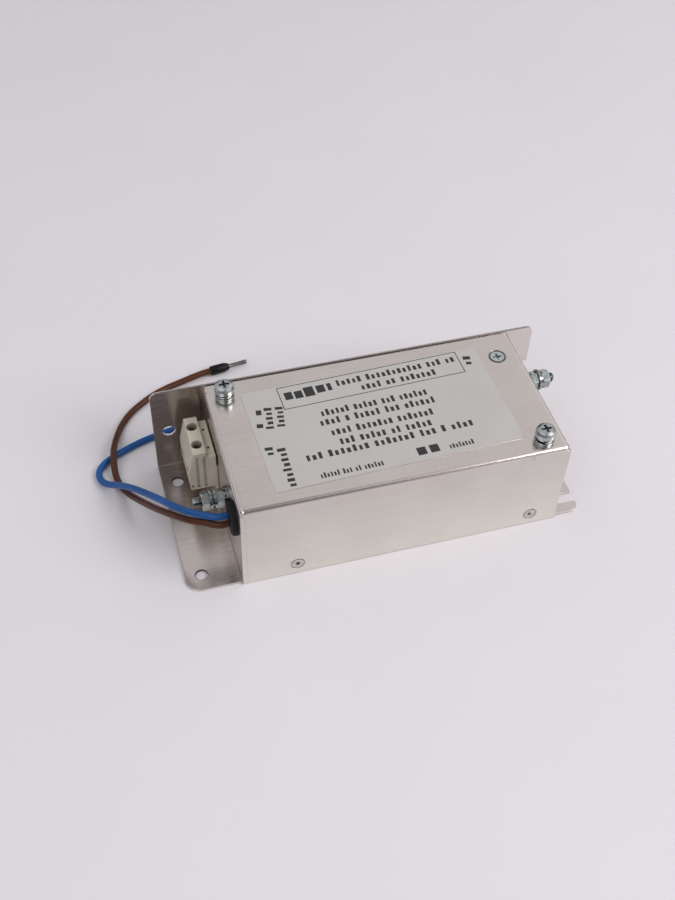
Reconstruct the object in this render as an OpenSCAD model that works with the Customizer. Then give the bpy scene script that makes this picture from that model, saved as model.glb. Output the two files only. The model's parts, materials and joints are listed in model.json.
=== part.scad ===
// Single-phase footprint power line filter.
// X runs along the case with the mains end at minus X, Y runs from the near panel to the back wall,
// and Z is up from the table. The origin is under the middle of the chassis.

/* [Case] */
// Overall length of the chassis
case_length = 169; // [164:1:220]
// Overall depth from the near panel to the outer face of the back wall
case_depth = 71; // [69:1:100]
// Height of the back wall
case_height = 45; // [43:0.5:70]
// Thickness of the sheet metal
sheet = 1; // [0.8:0.1:1.4]
// Inside radius of every fold
fold_r = 0.5; // [0.3:0.1:1]
// Inside radius of the folds in the cover
cover_fold_r = 1; // [0.5:0.1:1.5]
// Bare chassis shelf at the mains end
line_shelf = 21.9; // [18:0.1:40]
// Bare chassis shelf at the load end
load_shelf = 11.9; // [10:0.1:30]
// How far the cover lies below the top of the back wall
cover_drop = 0.5; // [0.2:0.1:1.5]
// Gap along the open seams of the folded sheets
seam_gap = 0.2; // [0.1:0.05:0.5]
// Height of the chassis lip behind the near panel
lip_height = 12; // [10:0.5:16]
// Distance from each end of the cover to the lip
lip_inset = 6; // [4:0.5:8]
// Corner radius of the mains shelf
shelf_corner_r = 5.5; // [2:0.1:7]
// Corner radius of the load shelf
tab_corner_r = 4; // [2:0.1:6]
// Corner radius at both ends of the wall top
wall_corner_r = 3.2; // [1:0.1:8]

/* [Fixing holes] */
// Distance from each end of the chassis to the fixing holes
fix_end_inset = 6.5; // [5.5:0.1:8]
// Distance from the near panel to the near row of fixing holes
fix_near_inset = 8.2; // [7:0.1:12]
// Distance from the outer face of the back wall to the far row
fix_far_inset = 11.8; // [10:0.1:20]
// Diameter of the floor holes and width of the floor slots
fix_hole_d = 5.2; // [4.2:0.1:6]
// Diameter of the wall hole and width of the wall slot
wall_hole_d = 5.5; // [4.2:0.1:7]
// Height of the wall hole above the table
wall_hole_z = 22; // [15:0.5:30]

/* [Cover screws] */
// From the mains end of the cover to the first side screw
side_screw_line = 22.6; // [12:0.1:40]
// From the load end of the cover to the second side screw
side_screw_load = 12.1; // [11:0.1:40]
// Height of the side screws
side_screw_z = 6.2; // [5.5:0.1:8]
// Thread diameter of the side screws and the board screws
m3_d = 3; // [2.5:0.1:3.2]
// Head diameter of the side screws
side_head_d = 5.2; // [5:0.1:5.6]
// Width across the flats of the sockets in the side screws
side_socket_af = 2; // [1.5:0.1:2.2]
// Length of the side screws
side_screw_length = 6; // [4:0.5:8]
// From the load end of the cover to the top screw
top_screw_inset_x = 10; // [8:0.1:13]
// From the outer face of the back wall to the top screw
top_screw_inset_y = 14.5; // [10:0.1:20]
// Head diameter of the flush top screw
top_head_d = 7; // [6.5:0.1:7.8]
// Length of the flush top screw
top_screw_length = 10; // [6:0.5:16]
// Diameter of the pillar under the top screw
pillar_d = 8; // [8:0.1:10]

/* [Mounting screws] */
// From the mains end of the cover to the first mounting screw
mount_line_inset = 8; // [6.5:0.1:10]
// From the outer face of the back wall to the first mounting screw
mount_far_inset = 8.2; // [7:0.1:10]
// From the load end of the cover to the second mounting screw
mount_load_inset = 9.2; // [8:0.1:12]
// From the near panel to the second mounting screw
mount_near_inset = 6.8; // [5.5:0.1:8]
// Thread diameter of the mounting screws, top screw and earth studs
m4_d = 4; // [3.5:0.1:4.2]
// Head diameter of the mounting screws
pan_head_d = 8.2; // [7:0.1:9]
// Head height of the mounting screws
pan_head_h = 3.6; // [2.4:0.1:4]
// Length of the mounting screws under the head
mount_screw_length = 10; // [8:0.5:16]
// Outside diameter of the plain washers under the mounting screws
mount_washer_d = 7.8; // [7:0.1:9]
// Outside diameter of the plain washers on the earth studs
plain_washer_d = 9; // [8:0.1:9]
// Thickness of the plain washers
plain_washer_t = 0.8; // [0.5:0.1:1]
// Outside diameter of the spring washers
spring_washer_d = 7.2; // [6.6:0.1:8]
// Thickness of the spring washers
spring_washer_t = 1; // [0.8:0.1:1.2]
// Height of a spring washer that is not pressed flat
spring_free_h = 2; // [1.8:0.1:3]
// Outside diameter of the press nuts under the cover
press_nut_d = 8; // [7:0.1:8.5]
// Height of the press nuts under the cover
press_nut_h = 4; // [3:0.1:5]

/* [Earth studs] */
// From the near panel to the mains earth stud
line_stud_inset = 23.5; // [22:0.1:27]
// Height of the mains earth stud
line_stud_z = 28; // [24:0.1:34]
// From the outer face of the back wall to the load earth stud
load_stud_inset = 26; // [25:0.1:50]
// From the top of the back wall down to the load earth stud
load_stud_drop = 7; // [6.5:0.1:20]
// How far the mains earth stud stands out of the end wall
line_stud_reach = 14.2; // [12:0.1:18]
// How far the load earth stud stands out of the end wall
load_stud_reach = 11.6; // [10.5:0.1:11.9]
// Width across the flats of the stud heads and nuts
stud_nut_af = 7; // [6.5:0.1:7.5]
// Height of the earth nuts
stud_nut_h = 3.2; // [2.6:0.1:3.4]
// Height of the stud heads inside the case
stud_head_h = 2.8; // [2:0.1:3.2]
// Outside diameter of the toothed lock washers
lock_washer_d = 8.2; // [7.4:0.1:9]
// Thickness of the toothed lock washers
lock_washer_t = 1; // [0.6:0.1:1.2]
// Thickness of the earth lugs
lug_t = 0.8; // [0.5:0.1:1]
// Diameter of the earth leads
earth_lead_d = 2.4; // [1.8:0.1:2.8]

/* [Lead outlet] */
// From the near panel to the middle of the grommet
outlet_inset = 10.5; // [9:0.1:11]
// Height of the middle of the grommet
outlet_z = 30; // [26:0.1:34]
// Outside diameter of the grommet
grommet_d = 14; // [12.5:0.1:14.5]
// Diameter of the grommet's hole in the end wall
grommet_hole_d = 10.5; // [9.5:0.1:11.5]
// How far the grommet stands out of the end wall
grommet_out = 2.5; // [1.5:0.1:4]
// How far the grommet stands into the case
grommet_in = 1.5; // [1:0.1:2.5]
// Outside diameter of the insulated leads
lead_d = 2.9; // [2.4:0.1:3]
// Half the distance between the two leads along the depth
lead_spread_y = 1; // [0.8:0.1:1.4]
// Half the distance between the two leads in height
lead_spread_z = 1.3; // [1.3:0.1:1.6]

/* [Ferrules] */
// Mouth diameter of the ferrule collars
collar_d = 4.4; // [3.6:0.1:4.4]
// Length of the ferrule collars
collar_length = 8.8; // [6:0.1:10]
// Outside diameter of the ferrule barrels
barrel_d = 2; // [1.6:0.1:2.4]
// Length of the ferrule barrels
barrel_length = 8.8; // [6:0.1:12]

/* [Terminal block] */
// From the outer face of the back wall to the far side of the block
term_inset = 7.1; // [5:0.1:9]
// Width of the block
term_w = 20.7; // [19.4:0.1:22]
// Distance between the two poles
term_pitch = 10.2; // [9.6:0.1:10.6]
// How far the block stands out of the end wall
term_reach = 11.9; // [11.5:0.1:14]
// How far the block reaches into the case
term_inner = 3.1; // [2.6:0.1:4]
// Height of the overhanging underside
term_floor_z = 12.6; // [11:0.1:13]
// Height at which the front is furthest out
term_bulge_z = 23; // [22.5:0.1:26]
// Height of the ridge with the screw wells
term_top_z = 34; // [32:0.1:36]
// Height of the step behind the ridge
term_step_z = 31; // [29.5:0.1:31.5]
// Start of the ridge, out from the end wall
ridge_start = 4.3; // [3.6:0.1:4.6]
// End of the ridge, out from the end wall
ridge_end = 9.7; // [9.5:0.1:10.6]
// Diameter of the screw wells
well_d = 4.6; // [4.4:0.1:5]
// Width of the wire entries
entry_w = 5.6; // [4.6:0.1:6]
// Underside of the wire entries
entry_z0 = 16.4; // [16:0.1:16.6]
// Upper side of the wire entries
entry_z1 = 22; // [21.4:0.1:22.2]
// Depth of the side grooves that take the end wall
groove_depth = 0.8; // [0.6:0.1:1]

/* [Board] */
// Height of the standoffs
standoff_h = 6; // [4:0.5:8]
// Diameter of the standoffs
standoff_d = 5.4; // [4.6:0.1:6]
// Thickness of the board
board_t = 1.6; // [1:0.1:2]
// From the near panel to the near edge of the board
board_near_inset = 6; // [5.5:0.1:7]
// From the outer face of the back wall to the far edge of the board
board_far_inset = 5; // [4:0.1:6]
// From the long edges of the board to the standoffs
standoff_inset = 4; // [3.2:0.1:4.5]
// Head diameter of the board screws
board_head_d = 5.6; // [5:0.1:6]
// Thickness of the insulating sheet on the floor
liner_t = 0.4; // [0.2:0.1:0.8]

/* [Choke] */
// Outside diameter of the ferrite ring
core_outer_d = 36; // [34:0.5:38]
// Inside diameter of the ferrite ring
core_inner_d = 22; // [20:0.5:24]
// Height of the ferrite ring
core_h = 15; // [10:0.5:18]
// Diameter of the winding wire
wire_d = 1.6; // [1.2:0.1:1.7]
// Turns on each half of the ring
turns = 12; // [6:1:14]

/* [Capacitors] */
// Thickness of the box capacitors
x_cap_t = 13; // [9:0.5:14]
// Length of the box capacitors
x_cap_length = 32; // [26:0.5:36]
// Height of the box capacitors
x_cap_h = 24; // [14:0.5:26]
// Diameter of the disc capacitors
y_cap_d = 9; // [6:0.5:11]
// Thickness of the disc capacitors
y_cap_t = 4.5; // [3:0.5:5]
// Diameter of the bleed resistor
resistor_d = 3.5; // [2.5:0.1:4.5]
// Length of the bleed resistor
resistor_length = 9; // [6:0.5:11]

/* [Label] */
// Length of the label
label_length = 103.5; // [60:0.5:106]
// Width of the label
label_w = 55; // [30:0.5:57]
// Thickness of the label film
label_t = 0.15; // [0.1:0.05:0.3]
// Corner radius of the label
label_corner_r = 1.5; // [0.5:0.5:4]
// From the mains end of the cover to the label
label_inset = 14.8; // [12:0.1:15]
// Angle at which the label was put on
label_turn = 1.5; // [0:0.1:2]

/* [Fits] */
// Gap around a piece that sits in a hole
fit_gap = 0.1; // [0.05:0.01:0.2]
// Width of the groove around each flush head
head_groove = 0.3; // [0.1:0.05:0.4]
// Gap between a thread and its bore
thread_gap = 0.05; // [0.02:0.01:0.1]
// Clear width kept between the parts on the board
part_gap = 2; // [1:0.1:3]

/* [Hidden] */
$fn = 48;

// Colours of the finishes
aluminium = [0.73, 0.71, 0.70];
zinc = [0.76, 0.79, 0.80];
brass = [0.78, 0.66, 0.36];
tinned = [0.70, 0.70, 0.68];
cream = [0.84, 0.81, 0.70];
rubber = [0.07, 0.07, 0.07];
blue_pvc = [0.06, 0.20, 0.48];
brown_pvc = [0.29, 0.15, 0.09];
copper = [0.72, 0.40, 0.20];
green_yellow_pvc = [0.35, 0.55, 0.12];
film = [0.72, 0.73, 0.72];
laminate = [0.55, 0.45, 0.22];
fibre = [0.80, 0.72, 0.55];
ferrite = [0.20, 0.20, 0.21];
black_moulding = [0.15, 0.15, 0.16];
yellow_moulding = [0.80, 0.66, 0.20];
blue_epoxy = [0.14, 0.36, 0.60];
grey_lacquer = [0.55, 0.62, 0.66];

// Reach of every cut past the face that it opens
past = 1;

// Faces of the case
x_end = case_length / 2;
y_near = -case_depth / 2;
y_far = case_depth / 2;
cover_x0 = -x_end + line_shelf;
cover_x1 = x_end - load_shelf;
cover_z = case_height - cover_drop;
panel_in = y_near + sheet;
wall_in = y_far - sheet;
bend_r = fold_r + sheet;
cover_bend_r = cover_fold_r + sheet;

// Fixing holes
fix_x = x_end - fix_end_inset;
fix_rows = [y_near + fix_near_inset, y_far - fix_far_inset];

// Cover screws: a flat rim on each countersunk head, then a cone at 45 degrees
head_rim = 0.25;
side_screw_xs = [cover_x0 + side_screw_line, cover_x1 - side_screw_load];
side_nut_d = 6;
side_nut_h = 1.5;
side_nut_shank_d = 4.2;
side_nut_shank_h = 0.6 * sheet;
pillar_xy = [cover_x1 - top_screw_inset_x, y_far - top_screw_inset_y];
pillar_shoulder = 1;
pillar_shank_d = pillar_d - 2 * pillar_shoulder;

// Mounting screws on one diagonal of their pattern
mount_xys = [
    [cover_x0 + mount_line_inset, y_far - mount_far_inset],
    [cover_x1 - mount_load_inset, y_near + mount_near_inset]
];
press_shank_wall = 0.7;
press_shank_d = m4_d + 2 * press_shank_wall;
mount_seat_z = cover_z + plain_washer_t + spring_free_h;

// Width of a cross recess as a share of its head
recess_share = 0.52;

// Earth studs and the pieces on them, from the end wall outwards
line_stack = ["plain", "lock", "nut", "plain", "spring", "plain", "nut"];
load_stack = ["lock", "nut", "plain", "spring", "nut"];
line_stud_y = y_near + line_stud_inset;
load_stud_y = y_far - load_stud_inset;
load_stud_z = case_height - load_stud_drop;
lug_ring_w = 2;
lug_ring_d = m4_d + 2 * lug_ring_w;
lug_barrel_wall = 0.5;
lug_barrel_d = earth_lead_d + 2 * lug_barrel_wall;
lug_drop = 7;
lug_barrel_length = 6;

// Lead outlet
outlet_y = y_near + outlet_inset;
outlet = [cover_x0 - grommet_out, outlet_y, outlet_z];

// Terminal block: the starts and ends are distances out from the end wall
term_y1 = y_far - term_inset;
term_y0 = term_y1 - term_w;
term_mid = (term_y0 + term_y1) / 2;
pole_ys = [term_mid - term_pitch / 2, term_mid + term_pitch / 2];
skirt_out = 1.2;
cage_start = 4;
cage_end = 10;
cage_w = 7.2;
cage_z0 = 14.6;
cage_z1 = 25.6;
cage_wall = 0.5;
cage_gap = 0.2;
bar_w = 4.4;
bar_t = 1;
bar_z1 = entry_z1 + cage_gap;
bar_in = 7.2;
pin_d = 1.4;
clamp_screw_d = 3.4;
clamp_screw_shift = 0.2;
clamp_screw_out = (ridge_start + ridge_end) / 2 + clamp_screw_shift;
clamp_head_gap = 0.15;
clamp_head_d = well_d - 2 * clamp_head_gap;
clamp_head_h = 2;

// Board and what stands on it, laid out from the mains end
board_z0 = sheet + standoff_h;
board_z = board_z0 + board_t;
board_end_gap = 0.7;
board_x0 = cover_x0 + term_inner + board_end_gap;
board_y0 = y_near + board_near_inset;
board_y1 = y_far - board_far_inset;
board_mid = (board_y0 + board_y1) / 2;
contact_x = cover_x0 + bar_in - pin_d / 2;
close_gap = 1.5;
line_standoff_edge = 8;
standoff_x0 = board_x0 + line_standoff_edge;
line_cap_x = standoff_x0 + board_head_d / 2 + close_gap + x_cap_t / 2;
winding_r0 = core_inner_d / 2 - fit_gap - wire_d;
winding_r1 = core_outer_d / 2 + fit_gap + wire_d;
carrier_edge = 1.25;
carrier_half = winding_r1 + carrier_edge;
carrier_t = 1.2;
carrier_corner_r = 2;
choke_x = line_cap_x + x_cap_t / 2 + part_gap + carrier_half;
load_cap_x = choke_x + carrier_half + part_gap + x_cap_t / 2;
y_cap_x = load_cap_x + x_cap_t / 2 + part_gap + y_cap_t / 2;
standoff_x1 = y_cap_x + y_cap_t / 2 + part_gap + board_head_d / 2;
load_standoff_edge = 4;
board_x1 = standoff_x1 + load_standoff_edge;
standoff_xys = [
    for (x = [standoff_x0, standoff_x1], y = [board_y0 + standoff_inset, board_y1 - standoff_inset]) [x, y]
];
standoff_shoulder = 0.5;
standoff_shank_d = standoff_d - 2 * standoff_shoulder;
board_screw_length = 6;
board_head_h = 2.2;
pin_tail = 1.2;
lead_hole_gap = 0.15;
cap_pin_d = 0.8;
cap_pin_hole_d = cap_pin_d + 2 * lead_hole_gap;
cap_pin_inset = 3;
x_cap_corner_r = 0.8;
x_cap_pins = [board_mid - x_cap_length / 2 + cap_pin_inset, board_mid + x_cap_length / 2 - cap_pin_inset];
y_cap_half_pitch = 12;
y_cap_ys = [board_mid - y_cap_half_pitch, board_mid + y_cap_half_pitch];
y_cap_pin_pitch = y_cap_d * 0.6;
y_cap_lift = 1;
resistor_lead_run = 2.5;
resistor_pitch = resistor_length + 2 * resistor_lead_run;
resistor_ahead = 1;
resistor_x = line_cap_x - x_cap_t / 2 - resistor_ahead;
resistor_y = board_mid - x_cap_length / 2 - close_gap - resistor_d / 2;
line_pad_inset = 5;
line_pad_x = board_x0 + line_pad_inset;
load_pad_inset = 3;
load_pad_x = board_x1 - load_pad_inset;
earth_sag = 3;

// Choke windings: turns lie close together at the inside of the ring
core_edge_r = 1.2;
core_z0 = board_z + carrier_t + wire_d + 2 * fit_gap;
turn_angle = 2 * asin((wire_d / 2 + fit_gap) / winding_r0);
winding_span = turn_angle * (turns - 1);
lead_r = winding_r1 - wire_d / 2;
tail_d = wire_d * 0.9;
winding_angles = [for (side = [-90, 90], end = [-1, 1]) side + end * winding_span / 2];

// Leads inside the case: they run along the near side of the board and end on it in a hump
inner_run_z = board_z + lead_d / 2 + fit_gap;
inner_end_x = y_cap_x;
inner_lead_gap = 1;
inner_y0 = board_mid - carrier_half - inner_lead_gap - lead_d / 2;
inner_ys = [inner_y0, inner_y0 - inner_lead_gap - lead_d];
inner_straight = 2;
inner_drop_run = 20;
inner_hump_run = 14;
inner_hump_h = 4.5;

// Routes of the two leads on the table, from the grommet to the ferrule. The far part of a route
// keeps its distance from this corner of the case, the near part keeps to the grommet.
route_corner = [-84.5, 35.5, 0];
route_blend = 10;
blue_route = [
    [-65.1, -24, 31.3], [-68.9, -24, 31.3], [-73.7, -21.4, 30.6], [-78.5, -17, 28.8], [-83.2, -10.7, 26],
    [-87.4, -3.4, 22.6], [-91.6, 4.4, 18.6], [-95.8, 11.9, 14.4], [-100.1, 18.9, 10], [-103.9, 24.2, 6],
    [-107.2, 28, 3.3], [-109.5, 32.3, 1.8], [-109.6, 36.8, 1.5], [-107.3, 40.6, 1.5], [-103.3, 43.6, 1.5],
    [-97.9, 46.5, 1.5], [-91.9, 49.1, 1.5], [-85, 51.4, 1.5], [-78, 53.1, 1.5], [-71, 54.6, 1.5],
    [-64, 55.6, 1.5], [-57, 56.4, 1.5], [-50, 57, 1.5], [-43, 57.4, 1.7], [-36, 57.6, 2],
    [-29, 57.7, 2.2], [-25, 57.7, 2.2]
];
brown_route = [
    [-65.1, -26, 28.7], [-68.9, -26, 28.7], [-73.8, -23, 28], [-78.8, -18.9, 26], [-83.3, -13.2, 23],
    [-87.8, -5.7, 18.6], [-92.3, 3.7, 12.8], [-96.3, 12.9, 7.4], [-99.7, 20.7, 3.6], [-101.9, 27.2, 1.8],
    [-102.9, 33.1, 2], [-102.7, 38.5, 3.8], [-102, 43.5, 4.9], [-100.8, 48.8, 4], [-98.7, 55.8, 2.2],
    [-95.7, 62.2, 1.5], [-91, 68.3, 1.5], [-85.4, 73, 1.5], [-79.1, 77.2, 1.5], [-72.5, 80.3, 1.5],
    [-65.1, 82.5, 1.7], [-57.7, 84.4, 2.1], [-54, 85.3, 2.2], [-50.2, 85.8, 2.2]
];
cord_sides = 8;
lead_offset = [0, lead_spread_y, lead_spread_z];

// Small functions for the stacks, the tubes and the helical washers
function stack_t(kind) =
    kind == "nut" ? stud_nut_h :
    kind == "plain" ? plain_washer_t :
    kind == "spring" ? spring_washer_t :
    lock_washer_t;
function stack_offset(stack, count) =
    count == 0 ? 0 : stack_offset(stack, count - 1) + stack_t(stack[count - 1]);
function laid(route, exit) =
    let (near_shift = exit - route[0], far_shift = [-x_end, y_far, 0] - route_corner)
    [for (i = [0 : len(route) - 1])
        let (far_share = min(i / route_blend, 1))
        route[i] + (1 - far_share) * near_shift + far_share * far_shift];
function unit(v) = v / norm(v);
function heading(route, i) = unit(route[min(i + 1, len(route) - 1)] - route[max(i - 1, 0)]);
function tube_ring(route, i, radius, upright) =
    let (along = heading(route, i), across = unit(cross(along, upright)), over = cross(across, along))
    [for (k = [0 : cord_sides - 1])
        let (turn = (k + 0.5) * 360 / cord_sides)
        route[i] + radius * (cos(turn) * across + sin(turn) * over)];
function skin_faces(rings, sides) = concat(
    [[for (k = [0 : sides - 1]) k]],
    [for (i = [0 : rings - 2], k = [0 : sides - 1])
        let (here = i * sides, there = here + sides, next = (k + 1) % sides)
        [here + k, there + k, there + next, here + next]],
    [[for (k = [sides - 1 : -1 : 0]) (rings - 1) * sides + k]]
);
function end_yaw(route) =
    let (last = len(route) - 1, step = route[last] - route[last - 1])
    atan2(step.y, step.x);

// Routes of the leads, moved along with the case
blue_laid = laid(blue_route, outlet + lead_offset);
brown_laid = laid(brown_route, outlet - lead_offset);

// Outline drawn in X and Z, run along Y
module along_y(y0, y1) {
    translate([0, y1, 0]) rotate([90, 0, 0]) linear_extrude(y1 - y0) children();
}

// Outline drawn in Y and Z, run along X
module along_x(x0, x1) {
    translate([x0, 0, 0]) rotate([90, 0, 90]) linear_extrude(x1 - x0) children();
}

// Block between two corners
module block(low, high) {
    translate(low) cube(high - low);
}

// Quarter ring of a fold in the first quadrant around its bend axis
module fold_ring(inner_r) {
    intersection() {
        difference() {
            circle(inner_r + sheet);
            circle(inner_r);
        }
        square(inner_r + sheet + past);
    }
}

// Eighth of a hollow ball that closes the corner between two folds, in the first octant
module fold_corner(inner_r) {
    intersection() {
        difference() {
            sphere(inner_r + sheet);
            sphere(inner_r);
        }
        cube(inner_r + sheet + past);
    }
}

// What a rounded corner takes away from a square corner at the origin
module corner_waste(radius) {
    difference() {
        translate([-past, -past]) square(radius + past);
        translate([radius, radius]) circle(radius);
    }
}

// Rectangle with round corners, centred
module rounded_rectangle(size, radius) {
    square([size.x - 2 * radius, size.y], center = true);
    square([size.x, size.y - 2 * radius], center = true);
    for (sx = [-1, 1], sy = [-1, 1])
        translate([sx * (size.x / 2 - radius), sy * (size.y / 2 - radius)]) circle(radius);
}

// Ring around Z from z = 0 upwards
module ring(outer_d, inner_d, height) {
    difference() {
        cylinder(d = outer_d, h = height);
        translate([0, 0, -past]) cylinder(d = inner_d, h = height + 2 * past);
    }
}

// Cross recess sunk into a head whose top is at z = 0
module cross_recess(width, depth) {
    for (turn = [0, 90])
        rotate(turn) translate([-width / 2, -width / 8, -depth]) cube([width, width / 4, depth + past]);
}

// Hexagon socket sunk into a head whose top is at z = 0
module hexagon_socket(across_flats, depth) {
    translate([0, 0, -depth]) cylinder(d = across_flats / cos(30), h = depth + past, $fn = 6);
}

// Countersunk screw with its head flush at z = 0 and its thread pointing down, less its recess
module countersunk_screw(head_d, thread_d, length) {
    cone_h = (head_d - thread_d) / 2;
    difference() {
        rotate_extrude()
            polygon([
                [0, 0], [head_d / 2, 0], [head_d / 2, -head_rim], [thread_d / 2, -head_rim - cone_h],
                [thread_d / 2, -length], [0, -length]
            ]);
        children();
    }
}

// Room for a countersunk head, with the groove around it and its thread hole
module countersink(head_d, hole_d, depth) {
    wide = head_d / 2 + fit_gap;
    narrow = hole_d / 2;
    rotate_extrude()
        polygon([
            [0, past], [wide + head_groove, past], [wide + head_groove, -head_rim], [wide, -head_rim],
            [narrow, -head_rim - (wide - narrow)], [narrow, -depth], [0, -depth]
        ]);
}

// Pan-head screw with its head seated at z = 0 and its thread pointing down
module pan_screw(head_d, head_h, thread_d, length) {
    crown = head_h * 0.45;
    under_cut = 0.2;
    rim = head_d / 2;
    difference() {
        union() {
            translate([0, 0, -length]) cylinder(d = thread_d, h = length);
            rotate_extrude()
                polygon([
                    [0, 0], [rim - under_cut, 0], [rim, under_cut], [rim, head_h - crown],
                    [rim - crown * 0.3, head_h - crown * 0.35], [rim - crown, head_h], [0, head_h]
                ]);
        }
        translate([0, 0, head_h]) cross_recess(head_d * recess_share, head_h * 0.6);
    }
}

// Press nut with its shoulder at z = 0, its shank pointing up and its body down
module press_nut(body_d, body_h, shank_d, shank_h, bore_d) {
    difference() {
        union() {
            translate([0, 0, -body_h]) cylinder(d = body_d, h = body_h);
            cylinder(d = shank_d, h = shank_h);
        }
        translate([0, 0, -body_h - past]) cylinder(d = bore_d, h = body_h + shank_h + 2 * past);
    }
}

// Hexagon nut or head along Z with chamfered corners, from z = 0 upwards
module hexagon(across_flats, height) {
    corner_d = across_flats / cos(30);
    chamfer = (corner_d - across_flats) * 0.3;
    intersection() {
        cylinder(d = corner_d, h = height, $fn = 6);
        rotate_extrude()
            polygon([
                [0, 0], [across_flats / 2, 0], [corner_d / 2, chamfer], [corner_d / 2, height - chamfer],
                [across_flats / 2, height], [0, height]
            ]);
    }
}

// Spring washer of one turn that rises along Z, not pressed flat
module open_spring_washer(outer_d, inner_d, thickness, free_h) {
    steps = 24;
    rise = free_h - thickness;
    sweep = 350;
    corners = [
        for (i = [0 : steps])
            let (turn = sweep * i / steps, lift = rise * i / steps)
            for (c = [[outer_d, 0], [outer_d, thickness], [inner_d, thickness], [inner_d, 0]])
                [c.x / 2 * cos(turn), c.x / 2 * sin(turn), lift + c.y]
    ];
    polyhedron(corners, skin_faces(steps + 1, 4));
}

// Pressed-flat spring washer with its split
module flat_spring_washer(outer_d, inner_d, thickness) {
    split_w = 0.6;
    split_turn = 20;
    difference() {
        ring(outer_d, inner_d, thickness);
        rotate(split_turn) translate([0, -split_w / 2, -past])
            cube([outer_d, split_w, thickness + 2 * past]);
    }
}

// Lock washer with teeth around its rim
module toothed_washer(outer_d, inner_d, thickness) {
    teeth = 10;
    tooth_depth = (outer_d - inner_d) * 0.25;
    tooth_gap = outer_d * 0.12;
    difference() {
        ring(outer_d, inner_d, thickness);
        for (i = [0 : teeth - 1])
            rotate(i * 360 / teeth)
                translate([outer_d / 2 - tooth_depth, -tooth_gap / 2, -past])
                    cube([outer_d, tooth_gap, thickness + 2 * past]);
    }
}

// Tube of eight sides swept along a route
module tube(route, diameter, upright) {
    count = len(route);
    polyhedron(
        [for (i = [0 : count - 1]) each tube_ring(route, i, diameter / 2, upright)],
        skin_faces(count, cord_sides)
    );
}

// Places children on an end wall with their Z pointing out of the case
module on_line_wall(y, z) {
    translate([cover_x0, y, z]) rotate([0, -90, 0]) children();
}

module on_load_wall(y, z) {
    translate([cover_x1, y, z]) rotate([0, 90, 0]) children();
}

// Every piece of one kind on the two studs
module stud_pieces(kind) {
    for (i = [0 : len(line_stack) - 1])
        if (line_stack[i] == kind)
            on_line_wall(line_stud_y, line_stud_z)
                translate([0, 0, stack_offset(line_stack, i)]) children();
    for (i = [0 : len(load_stack) - 1])
        if (load_stack[i] == kind)
            on_load_wall(load_stud_y, load_stud_z)
                translate([0, 0, stack_offset(load_stack, i)]) children();
}

// Folded chassis: floor, back wall and near lip
module chassis() {
    lip_x0 = cover_x0 + lip_inset;
    lip_x1 = cover_x1 - lip_inset;
    color(aluminium) difference() {
        union() {
            difference() {
                block([-x_end, panel_in, 0], [x_end, y_far - bend_r, sheet]);
                block(
                    [lip_x0 - sheet, panel_in - past, -past],
                    [lip_x1 + sheet, panel_in + bend_r, sheet + past]
                );
            }
            along_x(-x_end, x_end) translate([y_far - bend_r, bend_r]) mirror([0, 1]) fold_ring(fold_r);
            block([-x_end, wall_in, bend_r], [x_end, y_far, case_height]);
            along_x(lip_x0, lip_x1) translate([panel_in + bend_r, bend_r]) rotate(180) fold_ring(fold_r);
            block([lip_x0, panel_in, bend_r], [lip_x1, panel_in + sheet, lip_height]);
        }
        for (y = fix_rows) {
            translate([-fix_x, y, -past]) cylinder(d = fix_hole_d, h = sheet + 2 * past);
            translate([fix_x, y, -past]) cylinder(d = fix_hole_d, h = sheet + 2 * past);
            block([fix_x, y - fix_hole_d / 2, -past], [x_end + past, y + fix_hole_d / 2, sheet + past]);
        }
        for (x = [-fix_x, fix_x])
            translate([x, wall_in - past, wall_hole_z]) rotate([-90, 0, 0])
                cylinder(d = wall_hole_d, h = sheet + 2 * past);
        block(
            [fix_x, wall_in - past, wall_hole_z - wall_hole_d / 2],
            [x_end + past, y_far + past, wall_hole_z + wall_hole_d / 2]
        );
        translate([-x_end, panel_in, -past]) linear_extrude(sheet + 2 * past) corner_waste(shelf_corner_r);
        translate([x_end, panel_in, -past]) mirror([1, 0, 0])
            linear_extrude(sheet + 2 * past) corner_waste(tab_corner_r);
        along_y(wall_in - past, y_far + past)
            for (side = [0, 1])
                mirror([side, 0]) translate([-x_end, case_height]) mirror([0, 1])
                    corner_waste(wall_corner_r);
        for (xy = standoff_xys)
            translate([xy.x, xy.y, -past]) cylinder(d = standoff_shank_d, h = sheet + 2 * past);
        translate([pillar_xy.x, pillar_xy.y, -past]) cylinder(d = pillar_shank_d, h = sheet + 2 * past);
        for (x = side_screw_xs)
            translate([x, y_near, side_screw_z]) rotate([90, 0, 0])
                countersink(side_head_d, side_nut_shank_d, 2 * sheet + past);
    }
}

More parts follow.
